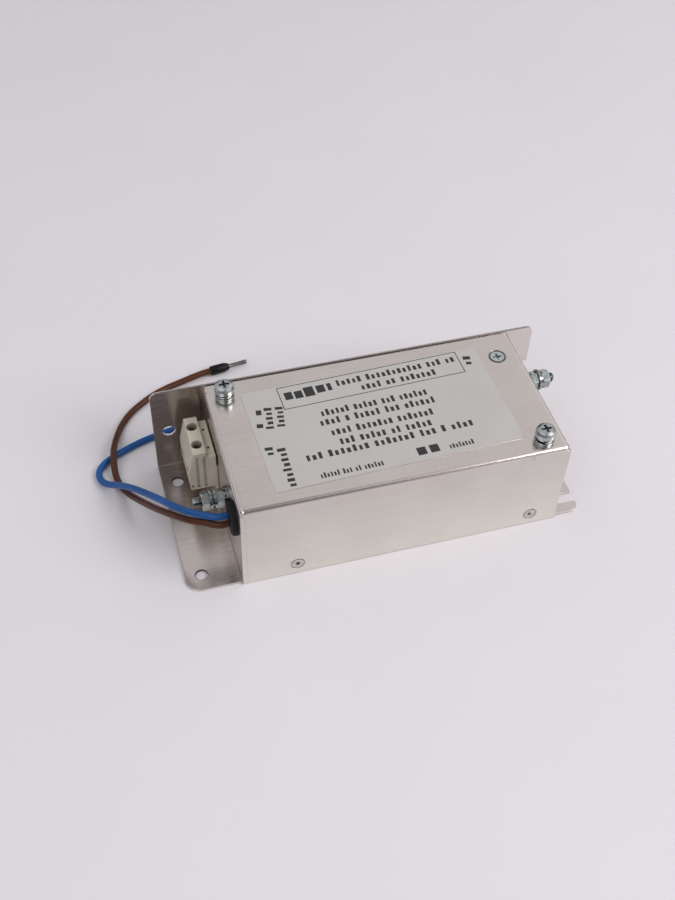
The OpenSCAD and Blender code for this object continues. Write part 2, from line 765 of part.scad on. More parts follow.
// Folded cover: top, near panel and two end walls
module cover() {
    back = wall_in - seam_gap;
    fold_x0 = cover_x0 + cover_bend_r;
    fold_x1 = cover_x1 - cover_bend_r;
    fold_y = y_near + cover_bend_r;
    fold_z = cover_z - cover_bend_r;
    floor_gap = sheet + seam_gap;
    notch_in = groove_depth - 2 * fit_gap;
    cutout_rise = 0.3;
    color(aluminium) difference() {
        union() {
            block([fold_x0, fold_y, cover_z - sheet], [fold_x1, back, cover_z]);
            along_x(fold_x0, fold_x1) translate([fold_y, fold_z]) mirror([1, 0]) fold_ring(cover_fold_r);
            block([cover_x0, y_near, 0], [cover_x1, panel_in, fold_z]);
            along_y(fold_y, back) {
                translate([fold_x0, fold_z]) mirror([1, 0]) fold_ring(cover_fold_r);
                translate([fold_x1, fold_z]) fold_ring(cover_fold_r);
            }
            translate([fold_x0, fold_y, fold_z]) rotate(180) fold_corner(cover_fold_r);
            translate([fold_x1, fold_y, fold_z]) rotate(-90) fold_corner(cover_fold_r);
            block([cover_x0, panel_in + seam_gap, floor_gap], [cover_x0 + sheet, back, fold_z]);
            block([cover_x1 - sheet, panel_in + seam_gap, floor_gap], [cover_x1, back, fold_z]);
        }
        block(
            [cover_x0 - past, term_y0 + notch_in, 0],
            [cover_x0 + sheet + past, term_y1 - notch_in, term_step_z + cutout_rise]
        );
        on_line_wall(line_stud_y, line_stud_z)
            translate([0, 0, -sheet - past]) cylinder(d = m4_d + 2 * fit_gap, h = sheet + 2 * past);
        on_load_wall(load_stud_y, load_stud_z)
            translate([0, 0, -sheet - past]) cylinder(d = m4_d + 2 * fit_gap, h = sheet + 2 * past);
        on_line_wall(outlet_y, outlet_z)
            translate([0, 0, -sheet - past]) cylinder(d = grommet_hole_d, h = sheet + 2 * past);
        for (xy = mount_xys)
            translate([xy.x, xy.y, cover_z - sheet - past])
                cylinder(d = press_shank_d + 2 * fit_gap, h = sheet + 2 * past);
        translate([pillar_xy.x, pillar_xy.y, cover_z])
            countersink(top_head_d, m4_d + 2 * fit_gap, top_screw_length);
        for (x = side_screw_xs)
            translate([x, y_near, side_screw_z]) rotate([90, 0, 0])
                countersink(side_head_d, m3_d + 2 * fit_gap, sheet + past);
    }
}

// Printed film on the top, put on a little askew
module rating_label() {
    color(film)
        translate([cover_x0 + label_inset + label_length / 2, 0, cover_z]) rotate(label_turn)
            linear_extrude(label_t) rounded_rectangle([label_length, label_w], label_corner_r);
}

module cover_side_screws() {
    color(zinc) for (x = side_screw_xs)
        translate([x, y_near, side_screw_z]) rotate([90, 0, 0])
            countersunk_screw(side_head_d, m3_d, side_screw_length)
                hexagon_socket(side_socket_af, (side_head_d - m3_d) / 2);
}

// Press nuts in the lip, with a dished mouth for the screw heads
module cover_side_nuts() {
    bore_d = m3_d + 2 * thread_gap;
    color(zinc) for (x = side_screw_xs)
        translate([x, panel_in + sheet, side_screw_z]) rotate([90, 0, 0]) difference() {
            press_nut(side_nut_d, side_nut_h, side_nut_shank_d - 2 * fit_gap, side_nut_shank_h, bore_d);
            translate([0, 0, 2 * sheet]) countersink(side_head_d, bore_d, 2 * sheet);
        }
}

module cover_top_screw() {
    color(zinc) translate([pillar_xy.x, pillar_xy.y, cover_z])
        countersunk_screw(top_head_d, m4_d, top_screw_length)
            cross_recess(top_head_d * recess_share, (top_head_d - m4_d) / 2);
}

// Pillar pressed into the floor, with a dished top for the screw head
module cover_pillar() {
    under_cover = cover_z - sheet;
    color(zinc) translate([pillar_xy.x, pillar_xy.y, 0]) difference() {
        union() {
            translate([0, 0, sheet]) cylinder(d = pillar_d, h = under_cover - sheet);
            cylinder(d = pillar_shank_d - 2 * fit_gap, h = sheet);
        }
        translate([0, 0, cover_z])
            countersink(top_head_d, m4_d + 2 * thread_gap, top_screw_length + past);
    }
}

module mounting_screws() {
    color(zinc) for (xy = mount_xys)
        translate([xy.x, xy.y, mount_seat_z]) pan_screw(pan_head_d, pan_head_h, m4_d, mount_screw_length);
}

module mounting_spring_washers() {
    color(zinc) for (xy = mount_xys)
        translate([xy.x, xy.y, cover_z + plain_washer_t])
            open_spring_washer(spring_washer_d, m4_d + 2 * fit_gap, spring_washer_t, spring_free_h);
}

module mounting_plain_washers() {
    color(zinc) for (xy = mount_xys)
        translate([xy.x, xy.y, cover_z]) ring(mount_washer_d, m4_d + 2 * fit_gap, plain_washer_t);
}

module mounting_press_nuts() {
    color(zinc) for (xy = mount_xys)
        translate([xy.x, xy.y, cover_z - sheet])
            press_nut(press_nut_d, press_nut_h, press_shank_d, sheet - fit_gap, m4_d + 2 * thread_gap);
}

// Side view of the terminal block, measured outwards from the end wall
module terminal_outline() {
    foot = sheet + fit_gap;
    front_lean = 0.2;
    polygon([
        [-term_inner, foot], [skirt_out, foot], [skirt_out, term_floor_z],
        [term_reach - front_lean, term_floor_z], [term_reach, term_bulge_z], [ridge_end, term_top_z],
        [ridge_start, term_top_z], [ridge_start, term_step_z], [-term_inner, term_step_z]
    ]);
}

// Turns outward distance from the end wall into the frame of the case
module out_of_line_wall() {
    translate([cover_x0, 0, 0]) mirror([1, 0, 0]) children();
}

module terminal_block() {
    flute_starts = [5.3, 8.3];
    flute_w = 1.1;
    flute_depth = 0.45;
    flute_low_gap = 1;
    flute_high_gap = 2;
    flute_z0 = term_floor_z + flute_low_gap;
    flute_z1 = term_top_z - flute_high_gap;
    wall_slot_w = 0.6;
    wall_slot_depth = 6;
    test_hole_d = 1.1;
    test_hole_depth = 2;
    mark_front_gap = 1;
    mark_low_gap = 2.2;
    color(cream) out_of_line_wall() difference() {
        along_y(term_y0, term_y1) terminal_outline();
        for (side = [term_y0 - past, term_y1 - groove_depth])
            block([-sheet - fit_gap, side, 0], [fit_gap, side + groove_depth + past, term_step_z + past]);
        block(
            [0, term_y0 - past, term_step_z - wall_slot_depth],
            [wall_slot_w, term_y1 + past, term_step_z + past]
        );
        for (y = pole_ys) {
            translate([clamp_screw_out, y, cage_z1]) cylinder(d = well_d, h = term_top_z - cage_z1 + past);
            block(
                [cage_start - cage_gap, y - cage_w / 2 - cage_gap, cage_z0 - cage_gap],
                [cage_end + cage_gap, y + cage_w / 2 + cage_gap, cage_z1 + cage_gap]
            );
            block([cage_end, y - entry_w / 2, entry_z0], [term_reach + past, y + entry_w / 2, entry_z1]);
            block(
                [-term_inner - past, y - bar_w / 2 - fit_gap, bar_z1 - bar_t - fit_gap],
                [cage_start, y + bar_w / 2 + fit_gap, bar_z1 + fit_gap]
            );
            translate([ridge_start * 0.6, y, term_step_z - test_hole_depth])
                cylinder(d = test_hole_d, h = test_hole_depth + past);
        }
        for (start = flute_starts)
            block(
                [start - flute_w / 2, term_y0 - past, flute_z0],
                [start + flute_w / 2, term_y0 + flute_depth, flute_z1]
            );
        translate([term_reach - mark_front_gap, term_y0 - past, term_floor_z + mark_low_gap])
            rotate([-90, 0, 0]) cylinder(d = test_hole_d, h = 2 * past);
    }
}

// Brass cages that rise and grip the wire
module terminal_clamps() {
    color(brass) out_of_line_wall() for (y = pole_ys) difference() {
        block([cage_start, y - cage_w / 2, cage_z0], [cage_end, y + cage_w / 2, cage_z1]);
        block(
            [cage_start - past, y - entry_w / 2 - cage_gap, entry_z0 - cage_wall],
            [cage_end + past, y + entry_w / 2 + cage_gap, bar_z1 + fit_gap]
        );
        translate([clamp_screw_out, y, bar_z1]) cylinder(d = clamp_screw_d + 2 * thread_gap, h = cage_z1);
    }
}

// Flat bars from the cages to pins in the board
module terminal_contacts() {
    foot_z = board_z0 - pin_tail;
    color(tinned) for (y = pole_ys) {
        block(
            [cover_x0 - cage_end, y - bar_w / 2, bar_z1 - bar_t],
            [contact_x + pin_d / 2, y + bar_w / 2, bar_z1]
        );
        translate([contact_x, y, foot_z]) cylinder(d = pin_d, h = bar_z1 - bar_t / 2 - foot_z);
    }
}

// Slotted screws that stand on the bars, with their heads in the wells
module terminal_screws() {
    slot_w = 0.9;
    slot_depth = 1;
    head_z = cage_z1 + fit_gap;
    foot_z = bar_z1 + fit_gap;
    color(zinc) out_of_line_wall() for (y = pole_ys) translate([clamp_screw_out, y, 0]) difference() {
        union() {
            translate([0, 0, foot_z]) cylinder(d = clamp_screw_d, h = head_z - foot_z);
            translate([0, 0, head_z]) cylinder(d = clamp_head_d, h = clamp_head_h);
        }
        translate([-clamp_head_d, -slot_w / 2, head_z + clamp_head_h - slot_depth])
            cube([2 * clamp_head_d, slot_w, slot_depth + past]);
    }
}

// Hexagon bolt put through an end wall from inside, over its lug
module earth_stud(reach) {
    seat = sheet + lug_t;
    tip = 0.4;
    translate([0, 0, -seat - stud_head_h]) hexagon(stud_nut_af, stud_head_h);
    translate([0, 0, -seat]) cylinder(d = m4_d, h = seat + reach - tip);
    translate([0, 0, reach - tip]) cylinder(d1 = m4_d, d2 = m4_d - 2 * tip, h = tip);
}

module line_earth_stud() {
    color(zinc) on_line_wall(line_stud_y, line_stud_z) earth_stud(line_stud_reach);
}

module load_earth_stud() {
    color(zinc) on_load_wall(load_stud_y, load_stud_z) earth_stud(load_stud_reach);
}

module earth_nuts() {
    color(zinc) stud_pieces("nut") difference() {
        hexagon(stud_nut_af, stud_nut_h);
        translate([0, 0, -past]) cylinder(d = m4_d + 2 * thread_gap, h = stud_nut_h + 2 * past);
    }
}

module earth_plain_washers() {
    color(zinc) stud_pieces("plain") ring(plain_washer_d, m4_d + 2 * fit_gap, plain_washer_t);
}

module earth_spring_washers() {
    color(zinc) stud_pieces("spring")
        flat_spring_washer(spring_washer_d, m4_d + 2 * fit_gap, spring_washer_t);
}

module earth_lock_washers() {
    color(zinc) stud_pieces("lock") toothed_washer(lock_washer_d, m4_d + 2 * fit_gap, lock_washer_t);
}

// Ring lug flat on the inside of an end wall, with its barrel hanging down
module earth_lug(wall_x, inward, y, z) {
    barrel_x = wall_x + inward * lug_barrel_d / 2;
    neck_lap = 0.6;
    translate([wall_x, y, z]) rotate([0, inward * 90, 0]) ring(lug_ring_d, m4_d + 2 * fit_gap, lug_t);
    block(
        [min(wall_x, wall_x + inward * lug_t), y - lug_barrel_d / 2, z - lug_drop],
        [max(wall_x, wall_x + inward * lug_t), y + lug_barrel_d / 2, z - lug_ring_d / 2 + neck_lap]
    );
    translate([barrel_x, y, z - lug_drop - lug_barrel_length])
        cylinder(d = lug_barrel_d, h = lug_barrel_length);
}

module earth_lugs() {
    color(tinned) {
        earth_lug(cover_x0 + sheet, 1, line_stud_y, line_stud_z);
        earth_lug(cover_x1 - sheet, -1, load_stud_y, load_stud_z);
    }
}

// Earth lead from a lug's barrel down to the end of the board
module earth_lead(wall_x, inward, y, z, board_x) {
    start = wall_x + inward * lug_barrel_d / 2;
    mouth = z - lug_drop - lug_barrel_length;
    rest = board_z + earth_lead_d / 2 + fit_gap;
    sag = min(earth_sag, (mouth - rest) / 2);
    reach = board_x - start;
    end_bend = 0.8;
    tube(
        [
            [start, y, mouth], [start, y, mouth - sag / 2], [start + reach * 0.12, y, mouth - sag],
            [start + reach * 0.4, y, rest + (mouth - sag - rest) * 0.3],
            [start + reach * 0.75, y, rest + end_bend], [board_x - inward * end_bend, y, rest],
            [board_x, y, (rest + board_z) / 2], [board_x, y, board_z]
        ],
        earth_lead_d, [0, 1, 0]
    );
}

module earth_leads() {
    color(green_yellow_pvc) {
        earth_lead(cover_x0 + sheet, 1, line_stud_y, line_stud_z, line_pad_x);
        earth_lead(cover_x1 - sheet, -1, load_stud_y, load_stud_z, load_pad_x);
    }
}

// Rubber bush with a groove for the end wall and two bores for the leads
module lead_grommet() {
    lip_r = 1.2;
    color(rubber) on_line_wall(outlet_y, outlet_z) difference() {
        rotate_extrude() {
            translate([0, -sheet - grommet_in])
                square([grommet_hole_d / 2 - fit_gap, sheet + grommet_in + grommet_out]);
            translate([0, -sheet - grommet_in]) square([grommet_d / 2, grommet_in - fit_gap]);
            translate([0, fit_gap]) square([grommet_d / 2, grommet_out - lip_r - fit_gap]);
            square([grommet_d / 2 - lip_r, grommet_out]);
            translate([grommet_d / 2 - lip_r, grommet_out - lip_r]) circle(lip_r);
        }
        for (side = [-1, 1])
            translate([side * lead_spread_z, side * lead_spread_y, -sheet - grommet_in - past])
                cylinder(d = lead_d + 2 * fit_gap, h = sheet + grommet_in + grommet_out + 2 * past);
    }
}

module blue_lead() {
    color(blue_pvc) tube(blue_laid, lead_d, [0, 0, 1]);
}

module brown_lead() {
    color(brown_pvc) tube(brown_laid, lead_d, [0, 0, 1]);
}

// The stretch of a lead from the outer face of the grommet to the board
module inner_lead(exit, run_y) {
    drop_x = cover_x0 + sheet + grommet_in + inner_straight;
    across = run_y - exit.y;
    fall = exit.z - inner_run_z;
    tube(
        [
            exit, [drop_x, exit.y, exit.z],
            [drop_x + inner_drop_run * 0.2, exit.y + across * 0.3, exit.z - fall * 0.13],
            [drop_x + inner_drop_run * 0.45, exit.y + across * 0.7, inner_run_z + fall * 0.45],
            [drop_x + inner_drop_run * 0.7, run_y, inner_run_z + fall * 0.15],
            [drop_x + inner_drop_run, run_y, inner_run_z],
            [inner_end_x - inner_hump_run, run_y, inner_run_z],
            [inner_end_x - inner_hump_run * 0.65, run_y, inner_run_z + inner_hump_h * 0.45],
            [inner_end_x - inner_hump_run * 0.35, run_y, inner_run_z + inner_hump_h],
            [inner_end_x - inner_hump_run * 0.15, run_y, inner_run_z + inner_hump_h],
            [inner_end_x, run_y, inner_run_z + inner_hump_h * 0.45], [inner_end_x, run_y, board_z]
        ],
        lead_d, [0, 1, 0]
    );
}

module blue_inner_lead() {
    color(blue_pvc) inner_lead(outlet + lead_offset, inner_ys[0]);
}

module brown_inner_lead() {
    color(brown_pvc) inner_lead(outlet - lead_offset, inner_ys[1]);
}

// Places children at the end of a lead with their Z pointing onwards
module at_lead_end(route) {
    translate(route[len(route) - 1]) rotate([0, 0, end_yaw(route)]) rotate([0, 90, 0]) children();
}

// Flared plastic collar of a ferrule
module ferrule_collar() {
    neck_wall = 0.5;
    straight = collar_length * 0.75;
    rotate_extrude()
        polygon([
            [0, 0], [collar_d / 2, 0], [collar_d / 2, straight],
            [barrel_d / 2 + neck_wall, collar_length], [0, collar_length]
        ]);
}

module ferrule_barrel() {
    translate([0, 0, collar_length]) cylinder(d = barrel_d, h = barrel_length);
}

module blue_ferrule_collar() {
    color(rubber) at_lead_end(blue_laid) ferrule_collar();
}

module blue_ferrule_barrel() {
    color(tinned) at_lead_end(blue_laid) ferrule_barrel();
}

module brown_ferrule_collar() {
    color(rubber) at_lead_end(brown_laid) ferrule_collar();
}

module brown_ferrule_barrel() {
    color(tinned) at_lead_end(brown_laid) ferrule_barrel();
}

module board_hole(xy, diameter) {
    translate([xy.x, xy.y, board_z0 - past]) cylinder(d = diameter, h = board_t + 2 * past);
}

// Board with a hole for every pin and screw
module circuit_board() {
    color(laminate) difference() {
        block([board_x0, board_y0, board_z0], [board_x1, board_y1, board_z]);
        for (xy = standoff_xys) board_hole(xy, m3_d + 2 * fit_gap);
        for (y = pole_ys) board_hole([contact_x, y], pin_d + 2 * lead_hole_gap);
        for (x = [line_cap_x, load_cap_x], y = x_cap_pins) board_hole([x, y], cap_pin_hole_d);
        for (y = y_cap_ys, side = [-1, 1])
            board_hole([y_cap_x, y + side * y_cap_pin_pitch / 2], cap_pin_hole_d);
        for (side = [0, 1])
            board_hole([resistor_x + side * resistor_pitch, resistor_y], cap_pin_hole_d);
        for (angle = winding_angles)
            board_hole(
                [choke_x + lead_r * cos(angle), board_mid + lead_r * sin(angle)],
                wire_d + 2 * lead_hole_gap
            );
    }
}

// Standoffs pressed into the floor
module board_standoffs() {
    color(zinc) for (xy = standoff_xys) translate([xy.x, xy.y, 0]) difference() {
        union() {
            translate([0, 0, sheet]) cylinder(d = standoff_d, h = standoff_h);
            cylinder(d = standoff_shank_d - 2 * fit_gap, h = sheet);
        }
        translate([0, 0, sheet]) cylinder(d = m3_d + 2 * thread_gap, h = standoff_h + past);
    }
}

module board_screws() {
    color(zinc) for (xy = standoff_xys)
        translate([xy.x, xy.y, board_z]) pan_screw(board_head_d, board_head_h, m3_d, board_screw_length);
}

// Insulating sheet on the floor with holes for the standoffs
module insulating_sheet() {
    color(fibre) difference() {
        block([board_x0, board_y0, sheet], [board_x1, board_y1, sheet + liner_t]);
        for (xy = standoff_xys)
            translate([xy.x, xy.y, 0]) cylinder(d = standoff_d + 2 * fit_gap, h = sheet + liner_t + past);
    }
}

// Section of the ferrite ring with rounded edges
module core_section(grow) {
    width = (core_outer_d - core_inner_d) / 2;
    translate([(core_outer_d + core_inner_d) / 4, core_z0 + core_h / 2])
        rounded_rectangle([width + 2 * grow, core_h + 2 * grow], core_edge_r + grow);
}

module choke_core() {
    color(ferrite) translate([choke_x, board_mid, 0]) rotate_extrude() core_section(0);
}

// Base plate with the divider that stands between the two windings
module choke_carrier() {
    divider_t = 2;
    divider_half = core_inner_d / 2 - 2 * fit_gap;
    tail_hole_d = wire_d + 2 * lead_hole_gap;
    color(black_moulding) translate([choke_x, board_mid, 0]) difference() {
        union() {
            translate([0, 0, board_z]) linear_extrude(carrier_t)
                rounded_rectangle([2 * carrier_half, 2 * carrier_half], carrier_corner_r);
            block(
                [-divider_half, -divider_t / 2, board_z],
                [divider_half, divider_t / 2, core_z0 + core_h]
            );
        }
        for (angle = winding_angles)
            rotate(angle) translate([lead_r, 0, board_z - past])
                cylinder(d = tail_hole_d, h = carrier_t + 2 * past);
    }
}

// Half of the choke's wire: loops around the ring, steps between them and two tails into the board
module winding(side) {
    tail_z = board_z0 - pin_tail;
    middle_z = core_z0 + core_h / 2;
    step_half = lead_r * tan(turn_angle / 2);
    step_h = tail_d / 2;
    color(copper) translate([choke_x, board_mid, 0]) rotate(side) {
        for (i = [0 : turns - 1])
            rotate(turn_angle * i - winding_span / 2) rotate([90, 0, 0])
                translate([0, 0, -wire_d / 2]) linear_extrude(wire_d) difference() {
                    core_section(fit_gap + wire_d);
                    core_section(fit_gap);
                }
        for (i = [0 : turns - 2])
            rotate(turn_angle * (i + 0.5) - winding_span / 2)
                block(
                    [lead_r - step_h, -step_half, middle_z - step_h],
                    [lead_r + step_h, step_half, middle_z + step_h]
                );
        for (end = [-1, 1])
            rotate(end * winding_span / 2) translate([lead_r, 0, tail_z])
                cylinder(d = tail_d, h = middle_z - tail_z);
    }
}

module line_winding() {
    winding(90);
}

module neutral_winding() {
    winding(-90);
}

// Box capacitor standing on the board on two pins
module box_capacitor(x) {
    translate([x, board_mid, board_z]) linear_extrude(x_cap_h)
        rounded_rectangle([x_cap_t, x_cap_length], x_cap_corner_r);
    for (y = x_cap_pins)
        translate([x, y, board_z0 - pin_tail]) cylinder(d = cap_pin_d, h = board_t + pin_tail + past);
}

module line_x_capacitor() {
    color(yellow_moulding) box_capacitor(line_cap_x);
}

module load_x_capacitor() {
    color(yellow_moulding) box_capacitor(load_cap_x);
}

// Dipped disc capacitors standing on edge
module y_capacitors() {
    edge_r = y_cap_t * 0.4;
    centre_z = board_z + y_cap_lift + y_cap_d / 2;
    color(blue_epoxy) for (y = y_cap_ys) {
        translate([y_cap_x, y, centre_z]) rotate([0, 90, 0]) rotate_extrude() intersection() {
            rounded_rectangle([y_cap_d, y_cap_t], edge_r);
            translate([0, -y_cap_t]) square([y_cap_d, 2 * y_cap_t]);
        }
        for (side = [-1, 1])
            translate([y_cap_x, y + side * y_cap_pin_pitch / 2, board_z0 - pin_tail])
                cylinder(d = cap_pin_d, h = centre_z - board_z0 + pin_tail);
    }
}

// Axial resistor lying on the board with its leads bent down
module bleed_resistor() {
    axis_z = board_z + resistor_d / 2 + fit_gap;
    foot_z = board_z0 - pin_tail;
    color(grey_lacquer) translate([resistor_x, resistor_y, 0]) {
        translate([resistor_lead_run, 0, axis_z]) rotate([0, 90, 0])
            cylinder(d = resistor_d, h = resistor_length);
        translate([0, 0, axis_z]) rotate([0, 90, 0]) cylinder(d = cap_pin_d, h = resistor_pitch);
        for (side = [0, 1])
            translate([side * resistor_pitch, 0, 0]) {
                translate([0, 0, foot_z]) cylinder(d = cap_pin_d, h = axis_z - foot_z);
                translate([0, 0, axis_z]) sphere(d = cap_pin_d);
            }
    }
}

chassis();
cover();
rating_label();
cover_side_screws();
cover_side_nuts();
cover_top_screw();
cover_pillar();
mounting_screws();
mounting_spring_washers();
mounting_plain_washers();
mounting_press_nuts();
terminal_block();
terminal_clamps();
terminal_contacts();
terminal_screws();
line_earth_stud();
load_earth_stud();
earth_nuts();
earth_plain_washers();
earth_spring_washers();
earth_lock_washers();
earth_lugs();
earth_leads();
lead_grommet();
blue_lead();
brown_lead();
blue_inner_lead();
brown_inner_lead();
blue_ferrule_collar();
blue_ferrule_barrel();
brown_ferrule_collar();
brown_ferrule_barrel();
circuit_board();
board_standoffs();
board_screws();
insulating_sheet();
choke_core();
choke_carrier();
line_winding();
neutral_winding();
line_x_capacitor();
load_x_capacitor();
y_capacitors();
bleed_resistor();
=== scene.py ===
import bmesh
import bpy
import json
import math
from mathutils import Matrix, Vector


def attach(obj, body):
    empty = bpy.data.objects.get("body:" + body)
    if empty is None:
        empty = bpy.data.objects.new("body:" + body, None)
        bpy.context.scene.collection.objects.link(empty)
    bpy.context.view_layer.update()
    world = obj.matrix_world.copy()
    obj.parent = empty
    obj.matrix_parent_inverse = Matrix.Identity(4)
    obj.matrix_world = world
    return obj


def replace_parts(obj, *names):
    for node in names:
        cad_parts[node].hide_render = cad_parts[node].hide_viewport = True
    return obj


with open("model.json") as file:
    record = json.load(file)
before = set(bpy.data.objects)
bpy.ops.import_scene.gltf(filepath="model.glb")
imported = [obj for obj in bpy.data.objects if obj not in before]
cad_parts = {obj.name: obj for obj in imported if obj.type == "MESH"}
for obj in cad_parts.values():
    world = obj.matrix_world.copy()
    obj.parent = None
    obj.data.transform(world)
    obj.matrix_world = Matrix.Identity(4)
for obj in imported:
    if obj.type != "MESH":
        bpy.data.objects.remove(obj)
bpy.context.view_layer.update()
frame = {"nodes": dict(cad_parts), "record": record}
nodes = frame["nodes"]
scene = bpy.context.scene
mm = 0.001
print("frame loaded with", len(nodes), "nodes")

# camera at the photograph's angle
viewpoint = {
    "place": (-0.113854, -0.310812, 0.390677),
    "right": (0.960563, -0.276677, 0.027737),
    "up": (0.187706, 0.718784, 0.669415),
    "back": (-0.205148, -0.637809, 0.742371),
    "lens": 47.371,
    "sensor": 36,
    "clip": 0.01,
}


def placeCamera(view):
    data = bpy.data.cameras.new("photoCamera")
    data.sensor_width = view["sensor"]
    data.lens = view["lens"]
    data.clip_start = view["clip"]
    camera = bpy.data.objects.new("photoCamera", data)
    turn = Matrix((view["right"], view["up"], view["back"])).transposed()
    camera.matrix_world = Matrix.Translation(view["place"]) @ turn.to_4x4()
    scene.collection.objects.link(camera)
    scene.camera = camera


placeCamera(viewpoint)
scene.view_settings.view_transform = "Standard"
print("camera placed")


# small helpers for node trees
def addNode(tree, kind, sockets=None, **settings):
    node = tree.nodes.new(kind)
    for key, value in settings.items():
        setattr(node, key, value)
    for key, value in (sockets or {}).items():
        node.inputs[key].default_value = value
    return node


def link(tree, source, target):
    tree.links.new(source, target)


def newGroup(name, inputs, outputs):
    tree = bpy.data.node_groups.new(name, "ShaderNodeTree")
    for label, kind, start in inputs:
        socket = tree.interface.new_socket(name=label, in_out="INPUT", socket_type=kind)
        socket.default_value = start
    for label, kind in outputs:
        tree.interface.new_socket(name=label, in_out="OUTPUT", socket_type=kind)
    return tree, tree.nodes.new("NodeGroupInput"), tree.nodes.new("NodeGroupOutput")


def mixColours(tree, mask, first, second, blend="MIX"):
    mix = addNode(tree, "ShaderNodeMix", data_type="RGBA", blend_type=blend)
    for socket, value in ((mix.inputs[6], first), (mix.inputs[7], second)):
        if hasattr(value, "is_output"):
            link(tree, value, socket)
        else:
            socket.default_value = (*value, 1)
    link(tree, mask, mix.inputs[0])
    return mix.outputs[2]


def mapTo(tree, value, low, high, fromLow=0.0, fromHigh=1.0):
    limits = {"From Min": fromLow, "From Max": fromHigh, "To Min": low, "To Max": high}
    node = addNode(tree, "ShaderNodeMapRange", limits)
    link(tree, value, node.inputs["Value"])
    return node.outputs["Result"]


def useGroup(tree, group, sockets):
    node = addNode(tree, "ShaderNodeGroup", node_tree=group)
    for key, value in sockets.items():
        node.inputs[key].default_value = value
    return node


# rounded edges: a normal that runs round each edge, and a mask of the edges
edgeShape = {"radius": 0.0002, "samples": 6, "agree": (0.86, 0.995)}


def buildSoftEdge():
    tree, source, sink = newGroup(
        "softEdge",
        [("Radius", "NodeSocketFloat", edgeShape["radius"])],
        [("Normal", "NodeSocketVector"), ("Edge", "NodeSocketFloat")],
    )
    bevel = addNode(tree, "ShaderNodeBevel", samples=edgeShape["samples"])
    surface = addNode(tree, "ShaderNodeNewGeometry")
    agree = addNode(tree, "ShaderNodeVectorMath", operation="DOT_PRODUCT")
    link(tree, source.outputs["Radius"], bevel.inputs["Radius"])
    link(tree, bevel.outputs["Normal"], sink.inputs["Normal"])
    link(tree, bevel.outputs["Normal"], agree.inputs[0])
    link(tree, surface.outputs["Normal"], agree.inputs[1])
    link(tree, mapTo(tree, agree.outputs["Value"], 1, 0, *edgeShape["agree"]), sink.inputs["Edge"])
    return tree


# rolled sheet: fine streaks one way, soft clouds, and a few handling scratches
grainShape = {
    "stretch": (60, 2600, 2600),
    "streak": {"Scale": 1.0, "Detail": 4.0, "Roughness": 0.62},
    "cloudScale": 45,
    "cloud": {"Detail": 3.0, "Roughness": 0.5},
    "scratch": {"Rotation": (0.35, 0.2, 0.5), "Scale": (30, 420, 300)},
    "scratchWidth": 0.012,
}
noiseSpread = (0.3, 0.7)  # the part of a noise's range that is pulled out to full contrast


def buildRolledGrain():
    tree, source, sink = newGroup(
        "rolledGrain",
        [("Stretch", "NodeSocketVector", grainShape["stretch"]),
         ("Cloud Scale", "NodeSocketFloat", grainShape["cloudScale"])],
        [("Streak", "NodeSocketFloat"), ("Cloud", "NodeSocketFloat"), ("Scratch", "NodeSocketFloat")],
    )
    place = addNode(tree, "ShaderNodeTexCoord")
    pull = addNode(tree, "ShaderNodeVectorMath", operation="MULTIPLY")
    link(tree, place.outputs["Object"], pull.inputs[0])
    link(tree, source.outputs["Stretch"], pull.inputs[1])
    streak = addNode(tree, "ShaderNodeTexNoise", grainShape["streak"])
    link(tree, pull.outputs["Vector"], streak.inputs["Vector"])
    link(tree, mapTo(tree, streak.outputs["Fac"], 0, 1, *noiseSpread), sink.inputs["Streak"])
    cloud = addNode(tree, "ShaderNodeTexNoise", grainShape["cloud"])
    link(tree, place.outputs["Object"], cloud.inputs["Vector"])
    link(tree, source.outputs["Cloud Scale"], cloud.inputs["Scale"])
    link(tree, mapTo(tree, cloud.outputs["Fac"], 0, 1, *noiseSpread), sink.inputs["Cloud"])
    turn = addNode(tree, "ShaderNodeMapping", grainShape["scratch"])
    link(tree, place.outputs["Object"], turn.inputs["Vector"])
    lines = addNode(tree, "ShaderNodeTexVoronoi", {"Scale": 1.0}, feature="DISTANCE_TO_EDGE")
    link(tree, turn.outputs["Vector"], lines.inputs["Vector"])
    scratch = mapTo(tree, lines.outputs["Distance"], 1, 0, 0, grainShape["scratchWidth"])
    link(tree, scratch, sink.inputs["Scratch"])
    return tree


# moulded skin: pebbled height and a faint mottle
skinShape = {
    "pebbleScale": 2500,
    "pebbleDetail": 2.0,
    "mottleScale": 120,
    "mottleDetail": 4.0,
    "roughness": 0.55,
}


def buildMouldSkin():
    tree, source, sink = newGroup(
        "mouldSkin",
        [("Pebble Scale", "NodeSocketFloat", skinShape["pebbleScale"]),
         ("Mottle Scale", "NodeSocketFloat", skinShape["mottleScale"])],
        [("Height", "NodeSocketFloat"), ("Mottle", "NodeSocketFloat")],
    )
    place = addNode(tree, "ShaderNodeTexCoord")
    layers = (
        ("Height", "Pebble Scale", skinShape["pebbleDetail"]),
        ("Mottle", "Mottle Scale", skinShape["mottleDetail"]),
    )
    for label, scale, detail in layers:
        settings = {"Detail": detail, "Roughness": skinShape["roughness"]}
        noise = addNode(tree, "ShaderNodeTexNoise", settings)
        link(tree, place.outputs["Object"], noise.inputs["Vector"])
        link(tree, source.outputs[scale], noise.inputs["Scale"])
        link(tree, mapTo(tree, noise.outputs["Fac"], 0, 1, *noiseSpread), sink.inputs[label])
    return tree


# painted shade in seams and under edges, from ambient occlusion
shadeShape = {"reach": 0.001, "samples": 6, "open": (0.25, 0.85)}


